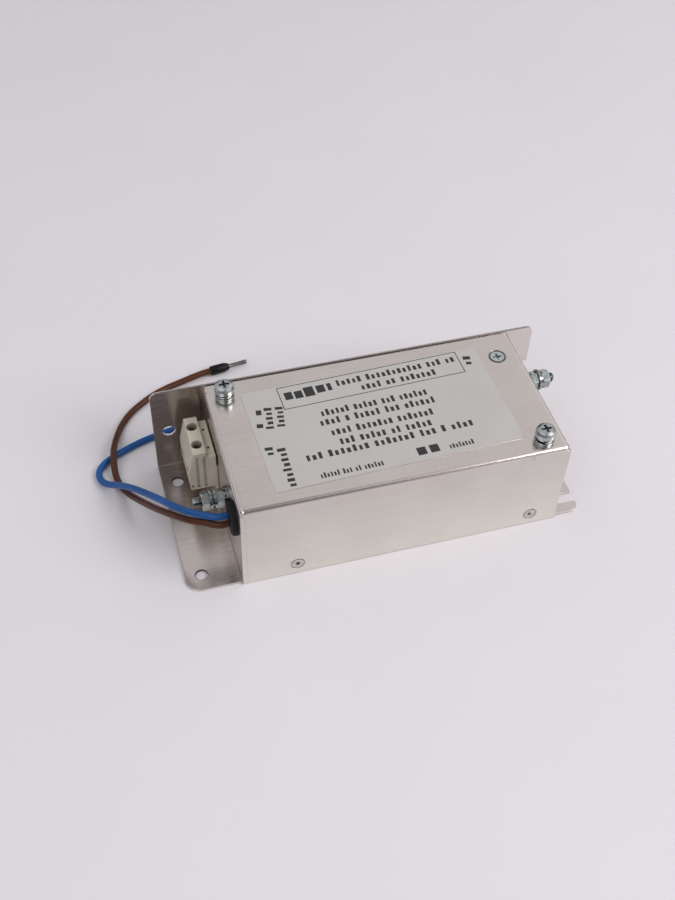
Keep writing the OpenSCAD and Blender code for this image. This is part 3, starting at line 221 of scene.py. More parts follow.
def buildGapShade():
    tree, source, sink = newGroup(
        "gapShade",
        [("Reach", "NodeSocketFloat", shadeShape["reach"])],
        [("Gap", "NodeSocketFloat")],
    )
    shade = addNode(tree, "ShaderNodeAmbientOcclusion", samples=shadeShape["samples"])
    link(tree, source.outputs["Reach"], shade.inputs["Distance"])
    link(tree, mapTo(tree, shade.outputs["AO"], 1, 0, *shadeShape["open"]), sink.inputs["Gap"])
    return tree


softEdge = buildSoftEdge()
rolledGrain = buildRolledGrain()
mouldSkin = buildMouldSkin()
gapShade = buildGapShade()
print("shared node groups built")


def newFinish(name):
    material = bpy.data.materials.new(name)
    material.use_nodes = True
    return material, material.node_tree, material.node_tree.nodes["Principled BSDF"]


def addBump(tree, shader, height, strength, distance, normal=None):
    bump = addNode(tree, "ShaderNodeBump", {"Strength": strength, "Distance": distance})
    link(tree, height, bump.inputs["Height"])
    if normal is not None:
        link(tree, normal, bump.inputs["Normal"])
    link(tree, bump.outputs["Normal"], shader.inputs["Normal"])


# bare rolled sheet of the case
sheetLook = {
    "light": (0.794, 0.721, 0.696),
    "dark": (0.738, 0.667, 0.641),
    "streak": (0.65, 0.59, 0.57),
    "streakShare": 0.3,
    "panelShadeHigh": (0.905, 0.945, 0.915),  # painted light on the near panel: a shade darker under its fold, lighter at its foot
    "panelLightLow": (1.07, 1.145, 1.09),
    "panelHeight": (0.003, 0.040),
    "panelFace": (-0.03545, -0.0354),
    # lighter edges and folds: painted highlight
    "edge": (0.86, 0.82, 0.80),
    # painted shade in seams and under edges
    "shadeTone": (0.22, 0.202, 0.196),
    # painted shade for the top edge of the back wall
    "cut": (0.30, 0.275, 0.265),
    # dark spots and a faint line, and painted shade on the shelf's end, its hole walls and a corner notch
    "markAndShade": (0.05, 0.045, 0.043),
    "rough": (0.18, 0.28),
    "scratchShare": 0.35,
    "bump": 0.08,
    "bumpDepth": 0.000004,
    "anisotropic": 0.75,
    "grainWay": (1, 0, 0.02),  # along the case, tipped a little so that no face lies square to it
    "edgeRadius": 0.00018,
    "edgeShare": 0.5,
    "gapReach": 0.0012,
    "shadeToneShare": 0.85,
    "markAndShadeShare": 0.9,
    "wallShade": (0.68, 0.66, 0.64),  # painted shade on the inside of the back wall at the mains end
    "wallFront": (0.0338, 0.0344),
    "wallBack": (0.0346, 0.0348),
    "wallEnd": (-0.0640, -0.0620),
    "cutShadeHeight": (0.0447, 0.0449),  # painted shade on the inner half of the sheared top edge of the back wall
    "cutShadeDepth": (0.0350, 0.0352),
    "endShadeX": (-0.08448, -0.08440),  # painted shade on the sheared end of the shelf, low against the table
    "endShadeHeight": (0.0009, 0.0011),
    "holes": [(-0.078, -0.0273), (-0.078, 0.0237)],  # painted shade on the punched walls of the shelf holes
    "holeShadeRadius": (0.00268, 0.00284),
    "panelLines": (-0.0606,),  # faint dark line near the mains end of the near panel
    "lineHalf": 0.00016,
    "creaseShare": 0.25,
    "spots": [  # x, y, z and radius of small dark spots; the last is painted shade in the notch at the cover's far left corner
        (0.0567, -0.0355, 0.0428, 0.0004),
        (0.0569, -0.0355, 0.0413, 0.0003),
        (-0.0619, 0.0305, 0.0444, 0.0007),
    ],
    "spotCore": 0.4,
}


def multiply(tree, first, second):
    node = addNode(tree, "ShaderNodeMath", operation="MULTIPLY")
    link(tree, first, node.inputs[0])
    link(tree, second, node.inputs[1])
    return node.outputs["Value"]


def largest(tree, masks):
    total = masks[0]
    for mask in masks[1:]:
        node = addNode(tree, "ShaderNodeMath", operation="MAXIMUM")
        link(tree, total, node.inputs[0])
        link(tree, mask, node.inputs[1])
        total = node.outputs["Value"]
    return total


# distance from a point, or from an upright axis where the height is left out
def distanceFrom(tree, place, point):
    upright = len(point) == 2
    middle = (*point, 0) if upright else point
    flat = addNode(tree, "ShaderNodeVectorMath", {1: (1, 1, 0 if upright else 1)}, operation="MULTIPLY")
    link(tree, place, flat.inputs[0])
    reach = addNode(tree, "ShaderNodeVectorMath", {1: middle}, operation="DISTANCE")
    link(tree, flat.outputs["Vector"], reach.inputs[0])
    return reach.outputs["Value"]


# mask of small dark spots and a faint line on the sheet, and of painted shade in a corner notch, on the
# sheared end of the shelf and in its punched holes
def sheetMarksAndShade(tree, look, place, axes):
    along, depth, height = axes
    dark = look["markAndShadeShare"]
    darkAreas = []
    for x, y, z, size in look["spots"]:
        away = distanceFrom(tree, place, (x, y, z))
        darkAreas.append(mapTo(tree, away, dark, 0, size * look["spotCore"], size))
    front = mapTo(tree, depth, look["creaseShare"], 0, *look["panelFace"])
    for x in look["panelLines"]:
        aside = addNode(tree, "ShaderNodeMath", {1: x}, operation="SUBTRACT")
        link(tree, along, aside.inputs[0])
        width = addNode(tree, "ShaderNodeMath", operation="ABSOLUTE")
        link(tree, aside.outputs["Value"], width.inputs[0])
        line = mapTo(tree, width.outputs["Value"], 1, 0, 0, look["lineHalf"])
        darkAreas.append(multiply(tree, line, front))
    # painted shade on the sheared end of the shelf
    end = mapTo(tree, along, 1, 0, *look["endShadeX"])
    darkAreas.append(multiply(tree, end, mapTo(tree, height, dark, 0, *look["endShadeHeight"])))
    # painted shade on the walls of the shelf holes
    for hole in look["holes"]:
        darkAreas.append(mapTo(tree, distanceFrom(tree, place, hole), dark, 0, *look["holeShadeRadius"]))
    return largest(tree, darkAreas)


# painted light and shade from face to face: the near panel, the inside of the back wall and its sheared top
# edge
def paintedSheetLight(tree, look, axes, tint):
    along, depth, height = axes
    # painted light on the near panel: darker under its fold, lighter at its foot
    panel = mapTo(tree, depth, 1, 0, *look["panelFace"])
    rise = mapTo(tree, height, 0, 1, *look["panelHeight"])
    panelLight = mixColours(tree, rise, look["panelLightLow"], look["panelShadeHigh"])
    tint = mixColours(tree, panel, tint, panelLight, "MULTIPLY")
    # painted shade on the inside of the back wall at the mains end
    front = mapTo(tree, depth, 0, 1, *look["wallFront"])
    shaded = multiply(tree, front, mapTo(tree, depth, 1, 0, *look["wallBack"]))
    shaded = multiply(tree, shaded, mapTo(tree, along, 1, 0, *look["wallEnd"]))
    tint = mixColours(tree, shaded, tint, look["wallShade"], "MULTIPLY")
    # painted shade on the inner half of the back wall's top edge
    top = mapTo(tree, height, 0, 1, *look["cutShadeHeight"])
    cut = multiply(tree, top, mapTo(tree, depth, 1, 0, *look["cutShadeDepth"]))
    return mixColours(tree, cut, tint, look["cut"])


def sheetFinish(name, look):
    material, tree, shader = newFinish(name)
    grain = useGroup(tree, rolledGrain, {})
    edges = useGroup(tree, softEdge, {"Radius": look["edgeRadius"]})
    gapShading = useGroup(tree, gapShade, {"Reach": look["gapReach"]})
    place = addNode(tree, "ShaderNodeTexCoord").outputs["Object"]
    split = addNode(tree, "ShaderNodeSeparateXYZ")
    link(tree, place, split.inputs[0])
    tint = mixColours(tree, grain.outputs["Cloud"], look["dark"], look["light"])
    # the streaks are the sheet's own grain; the edge layer is painted highlight and the gap layer painted
    # shade
    layers = (
        (grain.outputs["Streak"], "streak"),
        (edges.outputs["Edge"], "edge"),
        (gapShading.outputs["Gap"], "shadeTone"),
    )
    for mask, layer in layers:
        tint = mixColours(tree, mapTo(tree, mask, 0, look[layer + "Share"]), tint, look[layer])
    # dark spots and a line, and painted shade on the shelf's end, hole walls and a corner notch
    tint = mixColours(tree, sheetMarksAndShade(tree, look, place, split.outputs), tint, look["markAndShade"])
    link(tree, paintedSheetLight(tree, look, split.outputs, tint), shader.inputs["Base Color"])
    shader.inputs["Metallic"].default_value = 1
    shader.inputs["Anisotropic"].default_value = look["anisotropic"]
    # reflections smear across the grain
    across = addNode(tree, "ShaderNodeVectorMath", {1: look["grainWay"]}, operation="CROSS_PRODUCT")
    link(tree, addNode(tree, "ShaderNodeNewGeometry").outputs["Normal"], across.inputs[0])
    link(tree, across.outputs["Vector"], shader.inputs["Tangent"])
    blend = addNode(tree, "ShaderNodeMath", {1: look["scratchShare"]}, operation="MULTIPLY_ADD")
    link(tree, grain.outputs["Scratch"], blend.inputs[0])
    link(tree, grain.outputs["Streak"], blend.inputs[2])
    link(tree, mapTo(tree, blend.outputs["Value"], *look["rough"]), shader.inputs["Roughness"])
    addBump(tree, shader, grain.outputs["Streak"], look["bump"], look["bumpDepth"], edges.outputs["Normal"])
    return material


# bright zinc on screws, nuts and washers, with the bluish and straw tints of passivation
zincLook = {
    "cool": (0.42, 0.49, 0.51),
    "warm": (0.50, 0.52, 0.50),
    # lighter edges are painted highlight; the dark tone in seams is painted shade
    "edge": (0.66, 0.70, 0.71),
    "shadeTone": (0.12, 0.142, 0.147),
    "gapReach": 0.0012,
    "rough": (0.20, 0.34),
    "edgeRadius": 0.00018,
}
# darker zinc on the earth bolts, with painted highlight on its edges
earthLook = {
    "cool": (0.33, 0.385, 0.39),
    "warm": (0.42, 0.43, 0.405),
    "edge": (0.82, 0.86, 0.88),
    "shadeTone": (0.03, 0.037, 0.037),
    "gapReach": 0.0024,
    "rough": (0.12, 0.24),
    "edgeRadius": 0.00022,
}
# flush top screw, with a ring of painted shade round its head
flushLook = {
    "cool": (0.50, 0.58, 0.60),
    "warm": (0.66, 0.68, 0.66),
    "edge": (0.80, 0.84, 0.85),
    "shadeTone": (0.10, 0.115, 0.12),
    "gapReach": 0.0008,
    "rough": (0.12, 0.3),
    "edgeRadius": 0.00018,
    "rim": (0.0626, 0.021),
    "rimRadius": (0.00275, 0.0031),
    "rimShare": 0.9,
}
# plainer steel of the flush side screws
steelLook = {
    "cool": (0.60, 0.56, 0.55),
    "warm": (0.66, 0.61, 0.60),
    "edge": (0.70, 0.66, 0.65),
    "shadeTone": (0.06, 0.055, 0.05),
    "gapReach": 0.0006,
    "rough": (0.2, 0.32),
    "edgeRadius": 0.00012,
}
zincSkin = {"Pebble Scale": 1800, "Mottle Scale": 420}
zincBump = {"strength": 0.2, "distance": 0.00001}


def zincFinish(name, look):
    material, tree, shader = newFinish(name)
    skin = useGroup(tree, mouldSkin, zincSkin)
    edges = useGroup(tree, softEdge, {"Radius": look["edgeRadius"]})
    gapShading = useGroup(tree, gapShade, {"Reach": look["gapReach"]})
    tint = mixColours(tree, skin.outputs["Mottle"], look["cool"], look["warm"])
    # lighter edges are painted highlight; the dark tone in seams is painted shade
    tint = mixColours(tree, edges.outputs["Edge"], tint, look["edge"])
    tint = mixColours(tree, gapShading.outputs["Gap"], tint, look["shadeTone"])
    # a ring of painted shade round the flush screw's head
    if "rim" in look:
        place = addNode(tree, "ShaderNodeTexCoord").outputs["Object"]
        rim = mapTo(tree, distanceFrom(tree, place, look["rim"]), 0, look["rimShare"], *look["rimRadius"])
        tint = mixColours(tree, rim, tint, look["shadeTone"])
    link(tree, tint, shader.inputs["Base Color"])
    shader.inputs["Metallic"].default_value = 1
    link(tree, mapTo(tree, skin.outputs["Mottle"], *look["rough"]), shader.inputs["Roughness"])
    addBump(tree, shader, skin.outputs["Height"], normal=edges.outputs["Normal"], **zincBump)
    return material


# shade that deepens down the wells of a moulding
def wellShade(tree, look):
    place = addNode(tree, "ShaderNodeTexCoord").outputs["Object"]
    axes = addNode(tree, "ShaderNodeSeparateXYZ")
    link(tree, place, axes.inputs[0])
    shaded = []
    for well in look["wells"]:
        shaded.append(mapTo(tree, distanceFrom(tree, place, well), 1, 0, *look["wellRadius"]))
    depth = mapTo(tree, axes.outputs["Z"], 1, 0, *look["wellDepth"])
    return multiply(tree, largest(tree, shaded), depth)


# mouldings, rubber, film and lacquers share one recipe; a look names only what differs from these
plainLook = {
    "pebble": 2500,
    "mottle": 120,
    "edgeRadius": 0.00025,
    "metallic": 0,
    "shine": 0.5,
    "coat": 0,
    "coatRough": 0.1,
    "bump": 0.25,
    "bumpDepth": 0.00003,
}


def mouldedFinish(name, special):
    look = {**plainLook, **special}
    material, tree, shader = newFinish(name)
    skin = useGroup(tree, mouldSkin, {"Pebble Scale": look["pebble"], "Mottle Scale": look["mottle"]})
    edges = useGroup(tree, softEdge, {"Radius": look["edgeRadius"]})
    tint = mixColours(tree, skin.outputs["Mottle"], look["dark"], look["light"])
    # lighter edges are painted highlight
    if "edge" in look:
        tint = mixColours(tree, edges.outputs["Edge"], tint, look["edge"])
    # painted shade in seams and down the wells
    if "shadeTone" in look:
        gapShading = useGroup(tree, gapShade, {"Reach": look["gapReach"]})
        tint = mixColours(tree, gapShading.outputs["Gap"], tint, look["shadeTone"])
    if "wells" in look:
        tint = mixColours(tree, wellShade(tree, look), tint, look["shadeTone"])
    link(tree, tint, shader.inputs["Base Color"])
    shader.inputs["Metallic"].default_value = look["metallic"]
    shader.inputs["Specular IOR Level"].default_value = look["shine"]
    shader.inputs["Coat Weight"].default_value = look["coat"]
    shader.inputs["Coat Roughness"].default_value = look["coatRough"]
    link(tree, mapTo(tree, skin.outputs["Mottle"], *look["rough"]), shader.inputs["Roughness"])
    addBump(tree, shader, skin.outputs["Height"], look["bump"], look["bumpDepth"], edges.outputs["Normal"])
    return material


mouldedLooks = {
    "labelFilm": {
        "light": (0.73, 0.70, 0.68), "dark": (0.67, 0.645, 0.63), "rough": (0.26, 0.36),
        "mottle": 34, "pebble": 900, "bump": 0.006, "metallic": 0.8, "edgeRadius": 0.00008,
    },
    "creamMoulding": {
        "light": (0.65, 0.61, 0.505), "dark": (0.57, 0.53, 0.43), "rough": (0.38, 0.52),
        # lighter edges are painted highlight; the dark tone is painted shade in seams and wells
        "edge": (0.74, 0.70, 0.60), "shadeTone": (0.10, 0.085, 0.045), "gapReach": 0.0015,
        "wells": [(-0.0698, 0.01295), (-0.0698, 0.02315)],
        "wellRadius": (0.00236, 0.0025), "wellDepth": (0.0295, 0.0338),
    },
    "blackRubber": {
        "light": (0.014, 0.013, 0.013), "dark": (0.008, 0.008, 0.008), "rough": (0.55, 0.75),
        "bump": 0.5, "shine": 0.25,
    },
    "bluePvc": {
        "light": (0.012, 0.10, 0.34), "dark": (0.008, 0.078, 0.27), "rough": (0.20, 0.28),
        "mottle": 200, "pebble": 1500, "bump": 0.1, "shine": 0.3,
    },
    "brownPvc": {
        "light": (0.097, 0.031, 0.013), "dark": (0.068, 0.021, 0.009), "rough": (0.20, 0.28),
        "mottle": 200, "pebble": 1500, "bump": 0.1, "shine": 0.24,
    },
    "blackCollar": {
        "light": (0.007, 0.006, 0.007), "dark": (0.004, 0.004, 0.004), "rough": (0.3, 0.42),
        "shine": 0.25,
    },
    "printInk": {
        "light": (0.030, 0.030, 0.032), "dark": (0.020, 0.020, 0.021), "rough": (0.45, 0.6),
        "mottle": 300, "edgeRadius": 0.00001,
    },
    "tinnedCopper": {
        "light": (0.20, 0.195, 0.185), "dark": (0.14, 0.137, 0.13), "rough": (0.35, 0.5),
        "metallic": 1, "mottle": 500,
    },
    "brassCage": {
        "light": (0.72, 0.56, 0.27), "dark": (0.60, 0.45, 0.20), "rough": (0.25, 0.4),
        "metallic": 1, "mottle": 300,
    },
    "greenYellowPvc": {
        "light": (0.30, 0.42, 0.03), "dark": (0.16, 0.33, 0.03), "rough": (0.3, 0.42),
        "mottle": 150,
    },
    "boardLaminate": {
        "light": (0.36, 0.30, 0.12), "dark": (0.28, 0.23, 0.09), "rough": (0.4, 0.55),
        "mottle": 900,
    },
    "fibreSheet": {
        "light": (0.58, 0.49, 0.32), "dark": (0.50, 0.42, 0.27), "rough": (0.6, 0.8),
        "mottle": 300,
    },
    "ferrite": {
        "light": (0.060, 0.060, 0.064), "dark": (0.035, 0.035, 0.038), "rough": (0.45, 0.7),
        "mottle": 250,
    },
    "enamelledCopper": {
        "light": (0.55, 0.23, 0.09), "dark": (0.42, 0.15, 0.05), "rough": (0.2, 0.32),
        "metallic": 0.8, "coat": 0.5, "mottle": 200,
    },
    "blackMoulding": {
        "light": (0.024, 0.024, 0.025), "dark": (0.015, 0.015, 0.016), "rough": (0.4, 0.6),
    },
    "yellowBox": {
        "light": (0.62, 0.42, 0.05), "dark": (0.54, 0.36, 0.04), "rough": (0.35, 0.5),
    },
    "blueEpoxy": {
        "light": (0.04, 0.16, 0.38), "dark": (0.03, 0.12, 0.30), "rough": (0.18, 0.3),
        "coat": 0.3,
    },
    "resistorLacquer": {
        "light": (0.32, 0.42, 0.50), "dark": (0.26, 0.35, 0.43), "rough": (0.2, 0.35),
        "mottle": 500,
    },
}

finishes = {name: mouldedFinish(name, look) for name, look in mouldedLooks.items()}
finishes["sheetMetal"] = sheetFinish("sheetMetal", sheetLook)
finishes["zincPlate"] = zincFinish("zincPlate", zincLook)
finishes["earthZinc"] = zincFinish("earthZinc", earthLook)
finishes["flushZinc"] = zincFinish("flushZinc", flushLook)
finishes["brightSteel"] = zincFinish("brightSteel", steelLook)
print("finishes made:", len(finishes))

# which finish each CAD node wears
slotFinish = {
    "sheet_metal": "sheetMetal",
    "zinc_plate": "zincPlate",
    "label_film": "labelFilm",
    "cream_moulding": "creamMoulding",
    "brass_cage": "brassCage",
    "tinned_copper": "tinnedCopper",
    "green_yellow_pvc": "greenYellowPvc",
    "black_rubber": "blackRubber",
    "blue_pvc": "bluePvc",
    "brown_pvc": "brownPvc",
    "black_plastic": "blackMoulding",
    "board_laminate": "boardLaminate",
    "fibre_sheet": "fibreSheet",
    "ferrite": "ferrite",
    "enamelled_copper": "enamelledCopper",
    "yellow_box": "yellowBox",
    "blue_epoxy": "blueEpoxy",
    "resistor_body": "resistorLacquer",
}
nodeFinish = {
    "cover_side_screws": "brightSteel",
    "cover_top_screw": "flushZinc",
    "earth_nuts": "earthZinc",
    "earth_plain_washers": "earthZinc",
    "earth_spring_washers": "earthZinc",
    "earth_lock_washers": "earthZinc",
}
for part in frame["record"]["subparts"]:
    mesh = nodes[part["node"]].data
    mesh.materials.clear()
    wear = nodeFinish.get(part["node"], slotFinish[part["material_slot"]])
    mesh.materials.append(finishes[wear])
print("CAD nodes dressed")


# closes a bmesh, smooths it up to a sharp angle in degrees and puts it on the part
closeGap = 1e-7


def makePiece(name, bm, finish, sharp=35):
    bmesh.ops.remove_doubles(bm, verts=bm.verts, dist=closeGap)
    bmesh.ops.recalc_face_normals(bm, faces=bm.faces)
    mesh = bpy.data.meshes.new(name)
    bm.to_mesh(mesh)
    bm.free()
    mesh.materials.append(finishes[finish])
    mesh.shade_smooth()
    mesh.set_sharp_from_angle(angle=math.radians(sharp))
    piece = bpy.data.objects.new(name, mesh)
    scene.collection.objects.link(piece)
    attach(piece, "root")
    return piece


# turns a profile of (radius, height) points round Z; a ring's profile runs back to its start
def spinProfile(bm, points, ring=False, steps=48):
    chain = [bm.verts.new((radius, 0, height)) for radius, height in points]
    ends = chain[1:] + chain[:1] if ring else chain[1:]
    edges = [bm.edges.new(pair) for pair in zip(chain, ends)]
    bmesh.ops.spin(
        bm, geom=chain + edges, cent=(0, 0, 0), axis=(0, 0, 1),
        angle=2 * math.pi, steps=steps, use_merge=True,
    )


def moveAll(bm, matrix):
    bmesh.ops.transform(bm, matrix=matrix, verts=bm.verts)


# matrix that carries local Z onto a direction at a place
def aim(place, direction):
    return Matrix.Translation(place) @ Vector(direction).to_track_quat("Z", "Y").to_matrix().to_4x4()


# the two leads, from the grommet to their ferrules, in millimetres
blueRoute = [
    (-65.1, -24, 31.3), (-68.9, -24, 31.3), (-73.7, -21.4, 30.6), (-78.5, -17, 28.8), (-83.2, -10.7, 26),
    (-87.4, -3.4, 22.6), (-91.6, 4.4, 18.6), (-95.8, 11.9, 14.4), (-100.1, 18.9, 10), (-103.9, 24.2, 6),
    (-107.2, 28, 3.3), (-109.5, 32.3, 1.8), (-109.6, 36.8, 1.5), (-107.3, 40.6, 1.5), (-103.3, 43.6, 1.5),
    (-97.9, 46.5, 1.5), (-91.9, 49.1, 1.5), (-85, 51.4, 1.5), (-78, 53.1, 1.5), (-71, 54.6, 1.5),
    (-64, 55.6, 1.5), (-57, 56.4, 1.5), (-50, 57, 1.5), (-43, 57.4, 1.7), (-36, 57.6, 2),
    (-29, 57.7, 2.2), (-25, 57.7, 2.2),
]
brownRoute = [
    (-65.1, -26, 28.7), (-68.9, -26, 28.7), (-73.8, -23, 28), (-78.8, -18.9, 26), (-83.3, -13.2, 23),
    (-87.8, -5.7, 18.6), (-92.3, 3.7, 12.8), (-96.3, 12.9, 7.4), (-99.7, 20.7, 3.6), (-101.9, 27.2, 1.8),
    (-102.9, 33.1, 2), (-102.7, 38.5, 3.8), (-102, 43.5, 4.9), (-100.8, 48.8, 4), (-98.7, 55.8, 2.2),
    (-95.7, 62.2, 1.5), (-91, 68.3, 1.5), (-85.4, 73, 1.5), (-79.1, 77.2, 1.5), (-72.5, 80.3, 1.5),
    (-65.1, 82.5, 1.7), (-57.7, 84.4, 2.1), (-54, 85.3, 2.2), (-50.2, 85.8, 2.2),
]
leads = {
    "blue": {"route": blueRoute, "finish": "bluePvc", "slot": "blue_pvc", "length": 0.175},
    "brown": {"route": brownRoute, "finish": "brownPvc", "slot": "brown_pvc", "length": 0.1637},
}
leadSize = {"diameter": 0.0029, "around": 6, "along": 6}
ferrule = {
    "collar": [
        (1.5, 0.9), (1.62, 0.25), (1.95, 0), (2.14, 0.08), (2.2, 0.3), (2.2, 6.4), (2.12, 6.8),
        (1.62, 8.5), (1.42, 8.75), (1.02, 8.8),
    ],
    "barrel": [
        (0, 8.6), (1, 8.6), (1, 9.6), (0.95, 9.9), (0.93, 10.5), (0.99, 10.7), (0.93, 10.9),
        (0.93, 11.7), (0.99, 11.9), (0.93, 12.1), (0.93, 12.9), (0.99, 13.1), (0.93, 13.3),
        (0.93, 14.1), (0.99, 14.3), (0.93, 14.5), (0.94, 15.2), (1, 15.5), (1, 17.4),
        (0.94, 17.6), (0.7, 17.6), (0.68, 17.3), (0, 17.35),
    ],
    "crimp": (9.8, 15.3, 0.84),  # start and end of the crimp, and how far it is squeezed
    "wear": {"collar": ("blackCollar", "black_plastic"), "barrel": ("tinnedCopper", "tinned_copper")},
}


def makeLead(name, lead):
    curve = bpy.data.curves.new(name, "CURVE")
    curve.dimensions = "3D"
    curve.bevel_depth = leadSize["diameter"] / 2
    curve.bevel_resolution = leadSize["around"]
    curve.resolution_u = leadSize["along"]
    curve.use_fill_caps = True
    spline = curve.splines.new("BEZIER")
    spline.bezier_points.add(len(lead["route"]) - 1)
    for knot, place in zip(spline.bezier_points, lead["route"]):
        knot.co = Vector(place) * mm
        knot.handle_left_type = knot.handle_right_type = "AUTO"
    curve.materials.append(finishes[lead["finish"]])
    piece = bpy.data.objects.new(name, curve)
    scene.collection.objects.link(piece)
    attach(piece, "root")
    return piece


def makeFerrule(name, lead):
    last, before = Vector(lead["route"][-1]), Vector(lead["route"][-2])
    place = aim(last * mm, last - before) @ Matrix.Scale(mm, 4)
    pieces = []
    for part, (finish, slot) in ferrule["wear"].items():
        bm = bmesh.new()
        spinProfile(bm, ferrule[part], ring=part == "collar")
        if part == "barrel":
            start, end, squeeze = ferrule["crimp"]
            crimped = [v for v in bm.verts if start < v.co.z < end]
            bmesh.ops.scale(bm, vec=(1, squeeze, 1), verts=crimped)
        moveAll(bm, place)
        piece = makePiece(name + part.capitalize(), bm, finish)
        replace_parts(piece, "%s_ferrule_%s" % (name, part))
        pieces.append(piece)
    return pieces


for tint, lead in leads.items():
    wire = makeLead(tint + "Lead", lead)
    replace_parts(wire, tint + "_lead")
    ends = makeFerrule(tint, lead)
print("leads and ferrules laid")


# earth bolts: hexagon head inside the case, thread out through the end wall
earthBolts = {
    "lineStud": {"node": "line_earth_stud", "place": (-62.6, -12, 28), "out": (-1, 0, 0), "reach": 14.2},
    "loadStud": {"node": "load_earth_stud", "place": (72.6, 9.5, 38), "out": (1, 0, 0), "reach": 11.6},
}
boltSize = {
    "crest": 2.0,
    "pitch": 0.7,
    "seat": 1.8,
    "headHeight": 2.8,
    "acrossFlats": 7,
    "chamfer": 0.25,
    "tipLength": 0.4,
    "tipScale": 0.86,
}
# one turn of the thread, in shares of the pitch, and how close its cut edges lie
threadShape = {"depth": 0.6, "rise": 0.40, "crest": 0.52, "fall": 0.92, "around": 40}
threadGap = {"merge": 1e-3, "cut": 1e-4, "rim": 1e-2}


# chamfered end of the thread, drawn out of its last cap
def drawTip(bm, cap):
    tip = bmesh.ops.extrude_face_region(bm, geom=cap)["geom"]
    tipVerts = [v for v in tip if isinstance(v, bmesh.types.BMVert)]
    bmesh.ops.translate(bm, verts=tipVerts, vec=(0, 0, boltSize["tipLength"] * mm))
    bmesh.ops.scale(bm, verts=tipVerts, vec=(boltSize["tipScale"], boltSize["tipScale"], 1))
    bmesh.ops.delete(bm, geom=cap, context="FACES_ONLY")


# metric thread along Z: one V spun up a helix, trimmed at both ends and capped
def spinThread(bm, crest, pitch, low, high):
    root = crest - threadShape["depth"] * pitch
    around = threadShape["around"]
    turns = math.ceil((high - low) / pitch) + 2
    ridge = [
        (root, 0), (crest, threadShape["rise"]), (crest, threadShape["crest"]),
        (root, threadShape["fall"]), (root, 1),
    ]
    chain = [bm.verts.new((radius, 0, low + (share - 1) * pitch)) for radius, share in ridge]
    edges = [bm.edges.new(pair) for pair in zip(chain, chain[1:])]
    bmesh.ops.spin(
        bm, geom=chain + edges, cent=(0, 0, 0), axis=(0, 0, 1), dvec=(0, 0, pitch / around),
        angle=2 * math.pi * turns, steps=around * turns,
    )
    bmesh.ops.remove_doubles(bm, verts=bm.verts, dist=pitch * threadGap["merge"])
    for height, keepAbove in ((low, True), (high, False)):
        geometry = bm.verts[:] + bm.edges[:] + bm.faces[:]
        bmesh.ops.bisect_plane(
            bm, geom=geometry, dist=pitch * threadGap["cut"], plane_co=(0, 0, height), plane_no=(0, 0, 1),
            clear_inner=keepAbove, clear_outer=not keepAbove,
        )
        close = pitch * threadGap["rim"]
        loose = [e for e in bm.edges if e.is_boundary]
        rim = [e for e in loose if all(abs(v.co.z - height) < close for v in e.verts)]
        cap = bmesh.ops.edgeloop_fill(bm, edges=rim)["faces"]
        if height == high:
            drawTip(bm, cap)


# hexagon head from low to high with its corners taken off
def addHexagon(bm, acrossFlats, low, high):
    radius = acrossFlats / math.sqrt(3)
    ring = bmesh.ops.create_circle(bm, cap_ends=True, segments=6, radius=radius)["verts"]
    bmesh.ops.translate(bm, verts=ring, vec=(0, 0, low))
    face = ring[0].link_faces[0]
    raised = bmesh.ops.extrude_face_region(bm, geom=[face], use_keep_orig=True)["geom"]
    upper = [v for v in raised if isinstance(v, bmesh.types.BMVert)]
    bmesh.ops.translate(bm, verts=upper, vec=(0, 0, high - low))
    edges = {e for v in ring + upper for e in v.link_edges}
    bmesh.ops.bevel(
        bm, geom=list(edges), offset=boltSize["chamfer"] * mm, segments=2, profile=0.5,
        affect="EDGES", material=-1,
    )


for name, bolt in earthBolts.items():
    bm = bmesh.new()
    seat = -boltSize["seat"] * mm
    end = (bolt["reach"] - boltSize["tipLength"]) * mm
    spinThread(bm, boltSize["crest"] * mm, boltSize["pitch"] * mm, seat, end)
    addHexagon(bm, boltSize["acrossFlats"] * mm, -(boltSize["seat"] + boltSize["headHeight"]) * mm, seat)
    moveAll(bm, aim(Vector(bolt["place"]) * mm, bolt["out"]))
    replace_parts(makePiece(name, bm, "earthZinc"), bolt["node"])
print("earth bolts threaded")

